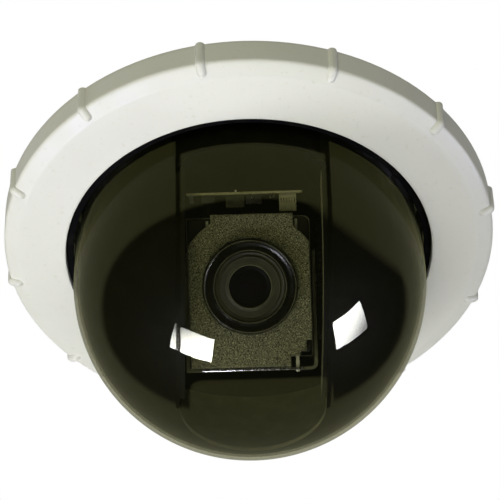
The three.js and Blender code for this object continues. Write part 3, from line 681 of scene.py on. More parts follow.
def trim_profile():
    """Outer face first, from the top edge down and in; then the hidden inner face back up."""
    outer = [(TRIM_R - 0.5 * MM, 0.0), (TRIM_R - 0.15 * MM, -0.15 * MM), (TRIM_R, -0.5 * MM)]
    outer += [(TRIM_R, -z * MM) for z in (2, 4, 6, 8, 9.5, 11)]
    outer += [(TRIM_R, WALL_FOOT_Z + 0.6 * MM), (TRIM_R - 0.2 * MM, WALL_FOOT_Z + 0.05 * MM),
              (TRIM_R - 0.62 * MM, WALL_FOOT_Z - 0.45 * MM)]
    for x in (1.3, 2.2, 3.0, 3.6, 4.1, 4.5, 4.9, 5.3, 5.7):
        t = x / 6.1
        drop = 3.0 * (0.8 * t + 0.2 * math.sqrt(1 - (1 - t) ** 2))
        outer.append((TRIM_R - x * MM, WALL_FOOT_Z - drop * MM))
    outer += [(BEVEL_R + 0.6 * MM, BEVEL_Z + 0.28 * MM), (BEVEL_R, BEVEL_Z + 0.06 * MM),
              (BEVEL_R - 0.7 * MM, BEVEL_Z - 0.1 * MM)]
    for t in (0.2, 0.4, 0.6, 0.8, 0.93):
        r = BEVEL_R - 0.7 * MM + t * (LIP_R + 0.9 * MM - BEVEL_R)
        outer.append((r, BEVEL_Z + t * (TRIM_LIP_Z - BEVEL_Z)))
    outer += [(LIP_R + 0.6 * MM, TRIM_LIP_Z), (LIP_R + 0.2 * MM, TRIM_LIP_Z + 0.15 * MM),
              (LIP_R, TRIM_LIP_Z + 0.6 * MM)]
    inner = [(LIP_R, SEAT_Z), (91.5 * MM, SEAT_Z), (BEVEL_R - 1 * MM, BEVEL_Z + 2.4 * MM),
             (TRIM_R - TRIM_WALL, WALL_FOOT_Z + 1.7 * MM), (TRIM_R - TRIM_WALL, 0.0)]
    return outer, inner


def rib_height(across, along, run_end, sunk):
    """How far the half-round rib stands out, `across` from its middle and `along` the profile."""
    past = max(0.0, along - run_end)
    reach = math.hypot(across, past)
    if reach >= RIB_R:
        return 0.0
    return max(0.0, math.sqrt(RIB_R ** 2 - reach ** 2) - sunk)


def trim_skin():
    """The ring's closed skin, with vertices set close together where the ribs rise out of it."""
    outer, inner = trim_profile()
    points = [Vector(p) for p in outer]
    along = [0.0]
    for a, b in zip(points, points[1:]):
        along.append(along[-1] + (b - a).length)
    normals = []
    for i in range(len(points)):
        way = (points[min(i + 1, len(points) - 1)] - points[max(i - 1, 0)]).normalized()
        normals.append(Vector((-way.y, way.x)))
    run_end = along[SHOULDER_ROW] + RIB_OVERRUN
    offsets = sorted({side * x * MM / TRIM_R for x in RIB_COLUMNS for side in (-1, 1)})
    step = TAU / RIB_COUNT
    free = step - 2 * offsets[-1]
    between = [offsets[-1] + free * k / 10 for k in range(1, 10)]
    bm = bmesh.new()
    columns = []
    for rib in range(RIB_COUNT):
        for offset in offsets + between:
            turn = RIB_FIRST + rib * step + offset
            across = offset * TRIM_R if abs(offset) < step / 2 else 1.0
            column = []
            for p, n, s in zip(points, normals, along):
                sunk = RIB_SUNK if s < along[FOOT_ROW] else RIB_SUNK_BELOW
                lift = rib_height(across, s, run_end, sunk) if s > 0.4 * MM else 0.0
                r, z = p + n * lift
                column.append(bm.verts.new((r * math.cos(turn), r * math.sin(turn), z)))
            column += [bm.verts.new((r * math.cos(turn), r * math.sin(turn), z)) for r, z in inner]
            columns.append(column)
    for k, column in enumerate(columns):
        after = columns[(k + 1) % len(columns)]
        for i in range(len(column)):
            j = (i + 1) % len(column)
            bm.faces.new((column[i], column[j], after[j], after[i]))
    return finish_mesh(bm, "trim_skin", 38)


def sector(name, inner, outer, centre, half, bottom, top):
    """Part of a ring in millimetres, `half` degrees to each side of the centre angle."""
    outline = arc(0, 0, outer * MM, centre - half, centre + half, 10)
    outline += arc(0, 0, inner * MM, centre + half, centre - half, 10)
    return slab(name, outline, bottom * MM, top * MM, 0.2 * MM)


def trim_parts():
    ledges = [sector("ledge", 100.4, 104.7, a, 8, -3, -0.8) for a in LUG_ANGLES]
    boss = mm([(1.5, -14.9), (2.6, -14.9), (2.6, -13.5), (2.4, -13.3), (1.6, -13.3), (1.5, -13.4)])
    bosses = [moved(turned("boss", boss, 20), spot(DOME_SCREW_R, a)) for a in THIRDS]
    dress(joined("trim_ring_skin", [trim_skin(), *ledges, *bosses]), "trim_white", "trim_ring")


# ------------------------------------------------------------------ dome, its gasket and clamp ring
def dome():
    wall = 1.5 * MM
    low_z = SEAT_Z + 0.3 * MM
    top_z = low_z + wall
    foot = arc(DOME_R + 1.2 * MM, low_z - 1.2 * MM, 1.2 * MM, 180, 90, 5)
    rim = [(90 * MM, low_z), (90 * MM, top_z)]
    inside = [(DOME_R - wall, top_z), *reversed(quarter(DOME_R - wall, 48))]
    shell = turned("dome_shell", quarter(DOME_R, 48) + foot + rim + inside, 180)
    dress(shell, "smoked_acrylic", "dome_bubble")
    shell.data.materials.append(FINISH["smoked_inside"])
    for face in shell.data.polygons:
        at = face.center
        reach = (at - TILT_AT).length if at.z < TILT_AT.z else at.to_2d().length
        face.material_index = 1 if reach < DOME_R - wall / 2 else 0


def gasket():
    section = block(DOME_R + 0.3 * MM, LIP_R - 0.3 * MM, -17.5 * MM, SEAT_Z)
    dress(turned("gasket_fine", rounded(section, 0.5 * MM, 4), 128), "rubber", "dome_gasket")


def clamp_ring():
    ring = rounded(block(DOME_R + 1.4 * MM, 95.6 * MM, -12.9 * MM, -10.9 * MM), 0.4 * MM, 3)
    hole = mm([(0, -20), (1.8, -20), (1.8, 0), (0, 0)])
    holes = [moved(turned("hole", hole, 20), spot(DOME_SCREW_R, a)) for a in THIRDS]
    dress(boolean(turned("clamp_ring_fine", ring, 128), holes), "black_plastic", "dome_clamp_ring")
    screw_set("dome_clamp_screw", DOME_SCREW_R, THIRDS, -10.6, 1.2, 3.6, 2.6, 1.8)


# ------------------------------------------------------------------ fixed side, above the ceiling
def drills(radius, angles, hole_r, bottom, top):
    """Upright pins round the axis that cut holes, in millimetres."""
    pin = mm([(0, bottom), (hole_r, bottom), (hole_r, top), (0, top)])
    return [moved(turned("drill", pin, 24), spot(radius, a)) for a in angles]


SHEET = 1.5  # the cans' sheet, in millimetres


def mounting_ring():
    outline = [(77, -2.5), (96.8, -2.5), (96.8, -8), (99, -8), (99, 0), (91.5, 0), (91.5, -0.6), (77, -0.6)]
    outline = mm(rounded(outline, 0.4, 3))
    holes = drills(CLAMP_R, CLAMP_ANGLES, 2.3, -4, 1)
    holes += drills(CAN_SCREW_R, CAN_SCREW_ANGLES, 1.55, -4, 1)
    ring = boolean(turned("ring", outline, 150), holes)
    lugs = [sector("lug", 98.6, 102.5, a + 1, 11, -6.5, -3.3) for a in LUG_ANGLES]
    stops = [sector("stop", 98.6, 102.5, a + 10.5, 1.5, -3.5, -0.8) for a in LUG_ANGLES]
    ribs = [sector("rib", 77.4, 96.9, a, 0.7, -4.2, -2.4) for a in range(0, 360, 20)
            if min(abs((a - b + 180) % 360 - 180) for b in CLAMP_ANGLES + CAN_SCREW_ANGLES) > 6]
    dress(joined("mounting_ring_fine", [ring, *lugs, *stops, *ribs]), "cast_alloy", "mounting_ring")


def back_can():
    low_z, wall = -0.3, SHEET
    outline = [(78.5, low_z, 1.4), (91, low_z, 0.1), (91, low_z + wall, 0.4), (80, low_z + wall, 0.8),
               (80, 25, 2.6), (52, 25, 0.3), (52, 23.5, 0.3), (78.5, 23.5, 1.2)]
    outline = mm(rounded(outline, 0, 5))
    holes = drills(CLAMP_R, CLAMP_ANGLES, 2.3, -2, 4)
    holes += drills(CAN_SCREW_R, CAN_SCREW_ANGLES, 1.55, -2, 4)
    holes += drills(CHASSIS_SCREW_R, THIRDS, 1.8, 21, 29)
    facing_out = Matrix.Rotation(QUARTER, 4, "Z") @ Matrix.Rotation(QUARTER, 4, "X")
    for a in range(0, 360, 60):
        vent = slab("vent", rounded(block(-9 * MM, 9 * MM, 9 * MM, 12 * MM), 1.45 * MM, 6), -6 * MM, 6 * MM)
        holes.append(moved(vent, spot(80, a) @ facing_out))
    dress(boolean(turned("back_can_fine", outline, 128), holes), "galvanised_steel", "back_can")


def electronics_cover():
    low_z, top_z, inner, wall = 25.3, 54.0, 54.0, SHEET
    outline = [(inner, low_z, 1.3), (62, low_z, 0.1), (62, low_z + wall, 0.4), (55.5, low_z + wall, 0.8),
               (55.5, top_z - 6, 2.2), (49.5, top_z, 2.2), (8.3, top_z, 0.2), (8.3, top_z - wall, 0.2),
               (inner - 5.4, top_z - wall, 1.0), (inner, top_z - 6.9, 1.0)]
    outline = mm(rounded(outline, 0, 5))
    holes = drills(CHASSIS_SCREW_R, THIRDS, 1.8, 21, 29)
    dress(boolean(turned("cover_fine", outline, 112), holes), "galvanised_steel", "electronics_cover")


def can_screws():
    screw_set("can_screw", CAN_SCREW_R, CAN_SCREW_ANGLES, 1.5, 1.25, 3.9, 2.6, 1.8)
    screw_set("chassis_screw", CHASSIS_SCREW_R, THIRDS, 27.1, 1.5, 6.6, 2.8, 2.0)


def gland():
    """Threaded body, lock nut under the cap, and a ribbed cap that squeezes the seal."""
    body = [(5, 48), (7.6, 48)]
    for k in range(5):
        body += [(8, 48.5 + k), (7.5, 49.0 + k)]
    body += [(7.9, 53.8), (7.9, 59.4), (7.9, 60.2)]
    body += [(8, 60.5), (8, 65.4), (7.7, 66.4), (6.9, 67.6), (6.3, 68), (5.4, 68), (5.1, 67.7), (5, 67.2)]
    core = turned("core", mm(body), 72, 40)
    corners = arc(0, 0, 11.5, 30, 330, 5)
    nut = slab("nut", mm(rounded(corners, 0.9, 4)), 54.3 * MM, 59.3 * MM, 0.5 * MM)
    grips = [moved(bar_mm("grip", (7.7, 8.0), (-0.35, 0.35), (60.9, 65.2), 0.12),
                   Matrix.Rotation(math.radians(a), 4, "Z")) for a in range(0, 360, 15)]
    dress(joined("gland_fine", [core, nut, *grips]), "moulded_plastic", "cable_gland")


def clamp_screw(name, place):
    rod = [(0, 31), (1.2, 30.7), (1.9, 29.9)]
    z = 29.5
    while z > 0.5:
        rod += [(2.0, z), (1.72, z - 0.4)]
        z -= 0.8
    rod += [(2.0, -2.2), (2.0, -2.8), (3.7, -2.8), (3.8, -3.0), (3.8, -5.5), (3.5, -6.1), (3.0, -6.2)]
    rod.append((0, -6.2))
    screw = boolean(turned("rod", mm(rod), 28, 40), cross_recess(2.3 * MM, 0.45 * MM, -8 * MM, -4.4 * MM))
    screw.name = f"{name}_fine"
    dress(moved(screw, place), "bright_steel", name)


def clamp_arm(name, place):
    """A boss round the screw, a flat arm with a web on it, and teeth that bite into the ceiling's back."""
    boss = rounded([(2.3, 10), (4.6, 10), (4.6, 18), (2.3, 18)], 0.5, 3)
    boss = turned("boss", mm(boss), 36)
    plan = rounded([(2.6, -4.5, 0.2), (15, -4.5, 2.0), (15, 4.5, 2.0), (2.6, 4.5, 0.2)], 0, 5)
    arm = slab("arm", mm(plan), 10 * MM, 13 * MM, 0.5 * MM)
    web = mm([(2.6, 10.4), (14, 10.4), (14, 12.6), (9, 13.4), (6, 15.2), (4.2, 16), (2.6, 16)])
    web = moved(slab("web", web, -1 * MM, 1 * MM, 0.3 * MM), Matrix.Rotation(QUARTER, 4, "X"))
    teeth = [bar_mm("tooth", (x, x + 0.7), (-3.6, 3.6), (12.8, 13.5), 0.25) for x in (9.6, 11.2, 12.8)]
    dress(moved(joined(f"{name}_fine", [boss, arm, web, *teeth]), place), "cast_alloy", name)


def ceiling_clamps():
    for k, angle in enumerate(CLAMP_ANGLES):
        clamp_screw(f"clamp_screw_{k + 1}", spot(CLAMP_R, angle))
        clamp_arm(f"clamp_arm_{k + 1}", spot(CLAMP_R, angle))


# ------------------------------------------------------------------ turning liner behind the dome
SLOT_HALF = 30.6 * MM
SLOT_TOP = -26.6 * MM
SLOT_END_Y = 6 * MM
SLOT_CORNER = 9 * MM
LINER_WALL = 1.6 * MM


def slot_tool():
    """The slot is straight from below, ends in a half circle behind, and has round upper corners in front."""
    plan = [(-SLOT_HALF, -100 * MM), (SLOT_HALF, -100 * MM)] + arc(0, SLOT_END_Y, SLOT_HALF, 0, 180, 40)
    below = slab("slot_plan", plan, -130 * MM, SLOT_TOP)
    side = SLOT_HALF - SLOT_CORNER
    high_z = SLOT_TOP - SLOT_CORNER
    front = [(-SLOT_HALF, -130 * MM), (SLOT_HALF, -130 * MM)]
    front += arc(side, high_z, SLOT_CORNER, 0, 90, 10) + arc(-side, high_z, SLOT_CORNER, 90, 180, 10)
    ahead = moved(slab("slot_front", front, -110 * MM, 110 * MM), Matrix.Rotation(QUARTER, 4, "X"))
    return moved(boolean(below, [ahead], "INTERSECT"), Matrix.Rotation(WINDOW_TURN, 4, "Z"))


def bowl(name, outside, inside, steps=144):
    """A half sphere with a straight skirt, between two depths under the liner's outer face."""
    rim = [(LINER_R - outside, LINER_TOP), (LINER_R - inside, LINER_TOP)]
    inner = list(reversed(quarter(LINER_R - inside, 36)))
    return turned(name, quarter(LINER_R - outside, 36) + rim + inner, steps)


def liner():
    shell = boolean(bowl("liner_shell", 0, LINER_WALL), [slot_tool()])
    rim = rounded(block(62 * MM, LINER_R - 1.2 * MM, LINER_TOP - 1.5 * MM, LINER_TOP), 0.3 * MM, 2)
    rim = turned("liner_rim", rim, 128)
    cheeks = []
    for side in (-1, 1):
        x = sorted((side * (SLOT_HALF - 2.2 * MM), side * (SLOT_HALF + 0.4 * MM)))
        plate = bar("cheek", x, (-90 * MM, 0), (-130 * MM, SLOT_TOP - SLOT_CORNER), 0.4 * MM)
        plate = moved(plate, Matrix.Rotation(WINDOW_TURN, 4, "Z"))
        cheeks.append(boolean(plate, [bowl("band", 0.1 * MM, 9 * MM, 96)], "INTERSECT"))
    piece = dress(joined("liner_fine", [shell, rim, *cheeks]), "liner_plastic", "liner")
    piece.data.materials.append(FINISH["liner_inside"])
    piece.data.materials.append(FINISH["rubber"])
    for face in piece.data.polygons:
        at = face.center
        in_bowl = at.z < TILT_AT.z
        outward = at - TILT_AT if in_bowl else at * Vector((1, 1, 0))
        over_slot = at.y < 0 and abs(at.x) < SLOT_HALF and at.z > SLOT_TOP - SLOT_CORNER
        if outward.dot(face.normal) < 0:
            face.material_index = 1 if in_bowl else 2
        elif over_slot:
            face.material_index = 2


# ------------------------------------------------------------------ tilting camera, in the head's own axes
LENS_BORE = 19.75
BOARD_POSTS = mm([(x, y) for x in (-17, 17) for y in (-30, 8)])


def head_piece(piece, finish, *nodes, like=None):
    return dress(moved(piece, HEAD), finish, *nodes, like=like)


def lens_piece(piece, finish, *nodes, like=None):
    """For pieces turned about the lens axis, drawn with +Z towards the view."""
    return dress(moved(piece, LENS), finish, *nodes, like=like)


def front_slab(name, outline, back, front, edge=0.0, holes=()):
    """An outline seen from the front, in X and Z, between two distances ahead of the tilt axis, all in mm."""
    flat = slab(name, mm(outline), back * MM, front * MM, edge * MM, [mm(hole) for hole in holes])
    return moved(flat, Matrix.Rotation(QUARTER, 4, "X"))


def cradle():
    """Folded sheet: floor, two sides with windows and the tilt bore, a front apron and a tongue."""
    w, t, low_z = 27.8, 1.5, -36.2
    section = [(-w, 14, 1.0), (-w, low_z, 3.2), (w, low_z, 3.2), (w, 14, 1.0),
               (w - t, 14, 0.3), (w - t, low_z + t, 1.8), (t - w, low_z + t, 1.8), (t - w, 14, 0.3)]
    body = front_slab("cradle_fold", rounded(section, 0, 6), -26, 30, 0.25)
    pivot = mm([(0, -40), (3.3, -40), (3.3, 40), (0, 40)])
    bores = [moved(turned("bore", pivot, 32), Matrix.Rotation(QUARTER, 4, "Y"))]
    bores += [bar_mm("window", (-30, 30), (y, y + 8), (-24, -14), 2) for y in (-20, 8)]
    body = boolean(body, bores)
    apron = [(-21, -35.3, 0), (21.8, -35.3, 0.5), (21.8, -34.1, 0.5), (-21, -34.1, 0)]
    nose = front_slab("apron", rounded(apron, 0, 3), 29, 46.5, 0.5)
    tongue = bar_mm("tab", (18.2, 19.8), (-45, -44), (low_z, -27.6), 0.4)
    cradle_piece = head_piece(joined("cradle_fine", [body, nose, tongue]), "worn_black", "cradle")
    cradle_piece.data.materials.append(FINISH["bright_steel"])
    cradle_piece.data.materials.append(FINISH["bare_steel"])
    to_head = HEAD.inverted()
    for face in cradle_piece.data.polygons:
        place = to_head @ face.center
        if place.y < -30.5 * MM:
            face.material_index = 2 if place.z > -33.9 * MM else 1


def camera_block():
    """Hollow shell with the lens bore and side grooves, and the posts that carry the camera board."""
    half, tall, front, rear, wall = 25, 28.3, 42, -30, 2
    outline = rounded(block(-half, half, -tall, tall), 2.2, 5)
    hollow = rounded(block(wall - half, half - wall, wall - tall, tall - wall), 1, 3)
    shell = front_slab("block", outline, rear, front, 0.5)
    inside = front_slab("hollow", hollow, rear - wall, front - wall)
    bore = turned("bore", mm([(0, 0), (LENS_BORE, 0), (LENS_BORE, 60), (0, 60)]), 72)
    moved(bore, Matrix.Rotation(QUARTER, 4, "X"))
    grooves = [bar_mm("groove", (side * half - 0.5, side * half + 0.5), (-34, 24), (z, z + 1), 0)
               for side in (-1, 1) for z in (-20, -16, 16, 20)]
    shell = boolean(shell, [inside, bore, *grooves])
    post = mm([(0, 27.5), (2.2, 27.5), (2.2, 29.2), (1.8, 29.8), (1.8, 37.8), (0, 37.8)])
    posts = [moved(turned("post", post, 20), Matrix.Translation((x, y, 0))) for x, y in BOARD_POSTS]
    head_piece(joined("camera_block_fine", [shell, *posts]), "black_plastic", "camera_block")


def face_frame():
    """A thin frame on the block's face, outside the foam pad, lighter than the block to paint the highlights
    along its edges, and two clips above it.
    """
    rim_out = rounded([(-26, -30), (25.6, -30), (25.6, 28.9, 3), (-26, 28.9, 5)], 0.6, 6)
    rim_in = rounded([(-25.7, -29.7), (25.3, -29.7), (25.3, 28.6, 3), (-25.7, 28.6, 5)], 0.6, 6)
    frame_piece = front_slab("face_frame", rim_out, 40.9, 41.7, 0.15, [rim_in])
    # painted highlight: the frame's lighter black stands in for glints along the face's edges
    head_piece(frame_piece, "worn_black", like="camera_block")
    for k, x in enumerate((-17.8, 19.3)):
        clip = bar_mm("clip", (x, x + 1.1), (-42.6, -41.6), (22.5, 27.6), 0.3)
        clip.name = f"face_clip_{k + 1}"
        head_piece(clip, "bare_steel", like="camera_block")


def foam_pad():
    """Flocked pad: soft edges, upper corners cut back round the lens, a notch for the cradle's tab."""
    r = 31.0
    outline = [(-25.5, -33.8, 1.2), (16.3, -33.8, 0.5), (16.3, -29.6, 0.4), (20.4, -29.6, 0.3),
               (20.4, -27.6, 0.3), (22.9, -27.6, 0.4), (22.9, -22.9, 0.4), (25.5, -22.9, 0.6)]
    outline += [(*p, 0.3) for p in arc(0, 0, r, 35.5, 51.5, 5)]
    outline += [(18.7, 25.0, 0.4), (18.7, 30.2, 0.7), (-15.9, 30.2, 0.9), (-15.9, 27.0, 0.5)]
    outline += [(*p, 0.3) for p in arc(0, 0, r, 120.5, 146, 6)]
    hole = list(reversed(arc(0, 0, LENS_BORE, 0, 360, 72)[:-1]))
    pad = front_slab("foam_pad_fine", rounded(outline, 0.6, 3), 42.3, 48, 0.7, [hole])
    bm = bmesh.new()
    bm.from_mesh(pad.data)
    bmesh.ops.triangulate(bm, faces=bm.faces)
    for _ in range(3):
        long_edges = [e for e in bm.edges if e.calc_length() > 1.6 * MM]
        bmesh.ops.subdivide_edges(bm, edges=long_edges, cuts=1, use_grid_fill=False)
        bmesh.ops.triangulate(bm, faces=bm.faces)
    name = pad.name
    bpy.data.objects.remove(pad)
    pad = finish_mesh(bm, name, 50)
    texture = bpy.data.textures.new("pad_lumps", "CLOUDS")
    texture.noise_scale = 0.004
    lumps = pad.modifiers.new("lumps", "DISPLACE")
    lumps.texture = texture
    lumps.strength = 0.35 * MM
    lumps.mid_level = 0.75
    pad = head_piece(pad, "foam", "foam_pad")


LENS_FRONT = 54.0  # how far the barrel's front edge is ahead of the tilt axis, in millimetres


def lens_barrel():
    f = LENS_FRONT
    barrel = [(17.4, -6), (19.45, -6), (19.45, 40), (19.45, 44), (19.2, 44.3), (19.2, 49.6), (19.45, 49.9),
              (19.45, f - 0.7), (19.25, f - 0.2), (18.9, f), (18.55, f - 0.25), (18.4, f - 0.9),
              (18.0, f - 1.5), (16.6, f - 2.1), (15.5, f - 1.3), (15.2, f - 0.5), (14.95, f - 0.35),
              (14.75, f - 0.6), (14.75, f - 3), (17.4, f - 3)]
    lens_piece(turned("lens_barrel_fine", mm(barrel), 160, 24), "gloss_black", "lens_barrel")


def lens_front():
    f = LENS_FRONT
    face = [(8.7, f - 7), (17.1, f - 7), (17.1, f - 3.3), (14.45, f - 3.3), (14.45, f - 2.0), (14.2, f - 1.8),
            (12.9, f - 2.2), (12.6, f - 1.9), (12.55, f - 1.1), (12.4, f - 0.92)]
    r = 12.1
    while r > 10.2:
        face += [(r, f - 0.95), (r - 0.15, f - 1.15), (r - 0.3, f - 0.95)]
        r -= 0.5
    face += [(10.0, f - 0.9), (9.5, f - 0.85), (9.1, f - 0.75), (8.85, f - 0.85), (8.7, f - 1.6)]
    lens_piece(turned("lens_front_fine", mm(face), 160, 24), "lens_plastic", "lens_front_ring")
    retainer = [(8.75, f - 1.15), (8.95, f - 0.66), (9.12, f - 0.62), (9.2, f - 0.8), (9.0, f - 1.3)]
    lens_piece(turned("glass_retainer", mm(retainer), 128, 20), "worn_black", like="lens_front_ring")


def barrel_rims():
    """Two bright lines on the barrel's front edge: painted highlights."""
    f = LENS_FRONT
    for name, radius in (("barrel_rim_outer", 19.05), ("barrel_rim_inner", 15.05)):
        line = [(radius - 0.18, f - 0.45), (radius - 0.1, f - 0.02), (radius + 0.1, f - 0.02),
                (radius + 0.18, f - 0.45)]
        # painted highlight: lighter rings where the barrel's edges catch the light
        lens_piece(turned(name, mm(line), 160, 20), "worn_black", like="lens_barrel")


def front_glass():
    f = LENS_FRONT
    bulge = 24.0
    half = math.degrees(math.asin(8.4 / bulge))
    crown = arc(0, f - 2.4 - bulge, bulge, 90 - half, 90, 14)
    crown[-1] = (0.0, crown[-1][1])
    glass = [(0, f - 7.5), (8.4, f - 7.5)] + crown
    lens_piece(turned("front_glass_fine", mm(glass), 96, 20), "optical_glass", "front_glass")


def chip(name, x, y, z, finish, edge=0.2):
    """A part on the camera board, in the head's axes and in millimetres, riding with the board."""
    return head_piece(bar_mm(name, x, y, z, edge), finish, like="camera_board")


def camera_board():
    outline = mm(rounded(block(-25.6, 23, -40, 14), 1.2, 3))
    holes = [arc(x, y, 1.1 * MM, 360, 0, 20)[:-1] for x, y in BOARD_POSTS]
    board = slab("camera_board_fine", outline, 38.5 * MM, 39.5 * MM, 0.0, holes)
    head_piece(board, "circuit_board", "camera_board")
    board.data.materials.append(FINISH["board_edge"])
    up = HEAD.to_3x3() @ Vector((0, 0, 1))
    for face in board.data.polygons:
        face.material_index = 1 if abs(face.normal.dot(up)) < 0.5 else 0
    chip("board_pin", (-5.3, -4.5), (-39.4, -38), (39.5, 40.4), "bare_steel")
    chip("board_coil", (-24.2, -22.6), (-38.6, -35), (35.2, 38.5), "cast_alloy", 0.5)
    chip("board_chip_left", (-19.4, -13.9), (-38.6, -33), (35.1, 38.5), "moulded_plastic")
    chip("board_socket", (-9.2, -1.4), (-38.6, -34), (32.9, 38.5), "lens_plastic", 0.3)
    chip("board_relay", (-0.8, 5.9), (-38.2, -34), (34.2, 38.5), "moulded_plastic", 0.3)
    for k, x in enumerate((2.1, 9.4, 10.8)):
        chip(f"board_solder_{k + 1}", (x - 0.5, x + 0.5), (-39.2, -38), (36.6, 38.5), "bright_steel", 0.4)
    plug = [bar_mm("plug", (13.2, 20.4), (-38.6, -34), (30.8, 38.5), 0.5)]
    for k in range(6):
        x = 13.7 + k * 1.12
        plug.append(bar_mm("tooth", (x, x + 0.62), (-39.2, -38.4), (31.2, 34.4), 0.15))
    head_piece(joined("board_plug", plug), "connector_plastic", like="camera_board")
    for k in range(6):
        x = 13.9 + k * 1.12
        chip(f"plug_pin_{k + 1}", (x, x + 0.3), (-39.0, -38.2), (34.6, 36.6), "brass", 0.1)


def rear_cover():
    outline = rounded(block(-25, 25, -28.3, 28.3), 2.2, 5)
    vents = [rounded(block(-14, 14, z - 1, z + 1), 0.95, 4)[::-1] for z in (-12, -6, 0, 6, 12)]
    cover = front_slab("rear_cover_fine", outline, -33, -30.3, 0.6, vents)
    head_piece(cover, "black_plastic", "rear_cover")


trim_parts()
dome()
gasket()
clamp_ring()
mounting_ring()
back_can()
electronics_cover()
can_screws()
gland()
ceiling_clamps()
liner()
cradle()
camera_block()
face_frame()
foam_pad()
lens_barrel()
lens_front()
barrel_rims()
front_glass()
camera_board()
rear_cover()
carried("galvanised_steel", "chassis_plate")
carried("black_steel", "turntable", "yoke_left", "yoke_right")
carried("cast_alloy", "pan_hub")
carried("bright_steel", "pan_bearing_outer", "pan_bearing_inner", "pan_motor", "tilt_motor", "network_jack",
        "tilt_shaft_left", "tilt_shaft_right")
carried("brass", "slip_ring_rotor", "pan_pinion", "tilt_pinion", "tilt_bushing_left", "tilt_bushing_right",
        edge=0.1 * MM)
carried("nylon", "pan_gear", edge=0.1 * MM)
carried("black_plastic", "tilt_gear", edge=0.1 * MM)
carried("moulded_plastic", "power_terminal", "slip_ring_stator")
carried("circuit_board", "main_board", "sensor_board", edge=0.1 * MM)
carried("optical_glass", "zoom_group", "focus_group", "ir_cut_filter")

# ------------------------------------------------------------------ floor, light and camera
LOOK_DOWN = math.radians(45.98)
CAMERA_FAR = 1.2726
ROLL = math.radians(-1.70)
LENS_MM = 207.5
AIM_RIGHT = 0.00059  # how far the camera aims beside the frame's origin, as a share of the distance
AIM_DOWN = 0.008536
DARK_ROOM = 0.007
PALE_ROOM = 0.43
SOFT_ROOM = 0.17  # how bright the white surroundings are for light that falls on the object
GAP_EDGE, GAP_SOFT = 1.02, 0.08
SLANT_WAY = (0.639, 0.769)
SLANT_EDGE, SLANT_SOFT = 0.60, 0.06
STAND_EDGE, STAND_SOFT = 1.1, 0.4
WHITE = (1, 1, 0.97)
COOL = (0.52, 0.52, 1)
OLIVE = (1, 0.995, 0.66)
RING_REACH = 94 * MM  # pieces that reach this far out, or sit this far off the axis, belong to the ring
RING_OFF_AXIS = 80 * MM

TO_CAMERA = Vector((0, -math.cos(LOOK_DOWN), -math.sin(LOOK_DOWN)))
SIDE = Vector((1, 0, 0))
RISE = Vector((0, -math.sin(LOOK_DOWN), math.cos(LOOK_DOWN)))


def camera():
    right = math.cos(ROLL) * SIDE + math.sin(ROLL) * RISE
    up = -math.sin(ROLL) * SIDE + math.cos(ROLL) * RISE
    forward = (-TO_CAMERA + right * AIM_RIGHT - up * AIM_DOWN).normalized()
    right = forward.cross(up).normalized()
    up = right.cross(forward)
    data = bpy.data.cameras.new("camera")
    data.lens = LENS_MM
    data.sensor_width = 36
    data.clip_start = 0.05
    data.clip_end = 50
    eye = placed("camera", data)
    columns = Matrix((right, up, -forward)).transposed()
    eye.matrix_world = Matrix.Translation(TO_CAMERA * CAMERA_FAR) @ columns.to_4x4()
    bpy.context.scene.camera = eye


def fade(data):
    """Makes a lamp's panel dimmer towards one corner, as a softbox lit from one side is."""
    data.use_nodes = True
    tree = data.node_tree
    across = tree.nodes.new("ShaderNodeSeparateXYZ")
    tree.links.new(tree.nodes.new("ShaderNodeNewGeometry").outputs["Parametric"], across.inputs[0])
    both = math_node(tree, "ADD", across.outputs["X"], across.outputs["Y"])
    share = range_node(tree, both, 1.0, 0.12, 0.3, 1.8)
    tree.links.new(share, tree.nodes["Emission"].inputs["Strength"])


def softbox(name, way, distance, size, power, colour, mirrored=False):
    """A rectangle of light that faces the dome's centre. It lights surfaces, or only shows in mirrors."""
    data = bpy.data.lights.new(name, "AREA")
    data.shape = "RECTANGLE"
    data.size, data.size_y = size
    data.energy = power
    data.color = colour
    if mirrored:
        fade(data)
    lamp = placed(name, data)
    way = Vector(way).normalized()
    lamp.location = TILT_AT + way * distance
    lamp.rotation_euler = way.to_track_quat("Z", "Y").to_euler()
    lamp.visible_camera = False
    lamp.visible_diffuse = not mirrored
    lamp.visible_glossy = mirrored


def lamps():
    softbox("key_mirror", (-0.573, -0.029, -0.819), 1.1, (0.30, 0.49), 62.0, COOL, mirrored=True)
    softbox("fill_mirror", (0.864, 0.057, -0.500), 1.1, (0.33, 0.42), 46.0, COOL, mirrored=True)
    softbox("key", (-0.62, 0.14, -0.77), 1.1, (0.48, 0.38), 5.6, WHITE)
    softbox("fill", (0.74, 0.14, -0.66), 1.1, (0.35, 0.46), 2.2, WHITE)
    softbox("bounce", (-0.10, -0.06, -0.99), 1.4, (0.5, 0.5), 4.8, WHITE)
    softbox("near", (-0.12, -0.50, -0.85), 0.36, (0.16, 0.16), 0.22, WHITE)
    softbox("front", (-0.30, -0.95, -0.04), 1.4, (0.7, 0.7), 3.9, OLIVE)


def vector_node(tree, operation, *values):
    made = tree.nodes.new("ShaderNodeVectorMath")
    made.operation = operation
    for socket, value in zip(made.inputs, values):
        feed(tree, socket, value)
    return made.outputs["Value" if operation == "DOT_PRODUCT" else "Vector"]


def place_on_mirror(tree):
    """Where on a mirror ball a direction shows up: across and up, each from -1 to 1."""
    way = tree.nodes.new("ShaderNodeTexCoord").outputs["Generated"]
    unit = vector_node(tree, "NORMALIZE", vector_node(tree, "ADD", way, TO_CAMERA))
    return [vector_node(tree, "DOT_PRODUCT", unit, axis) for axis in (SIDE, RISE)]


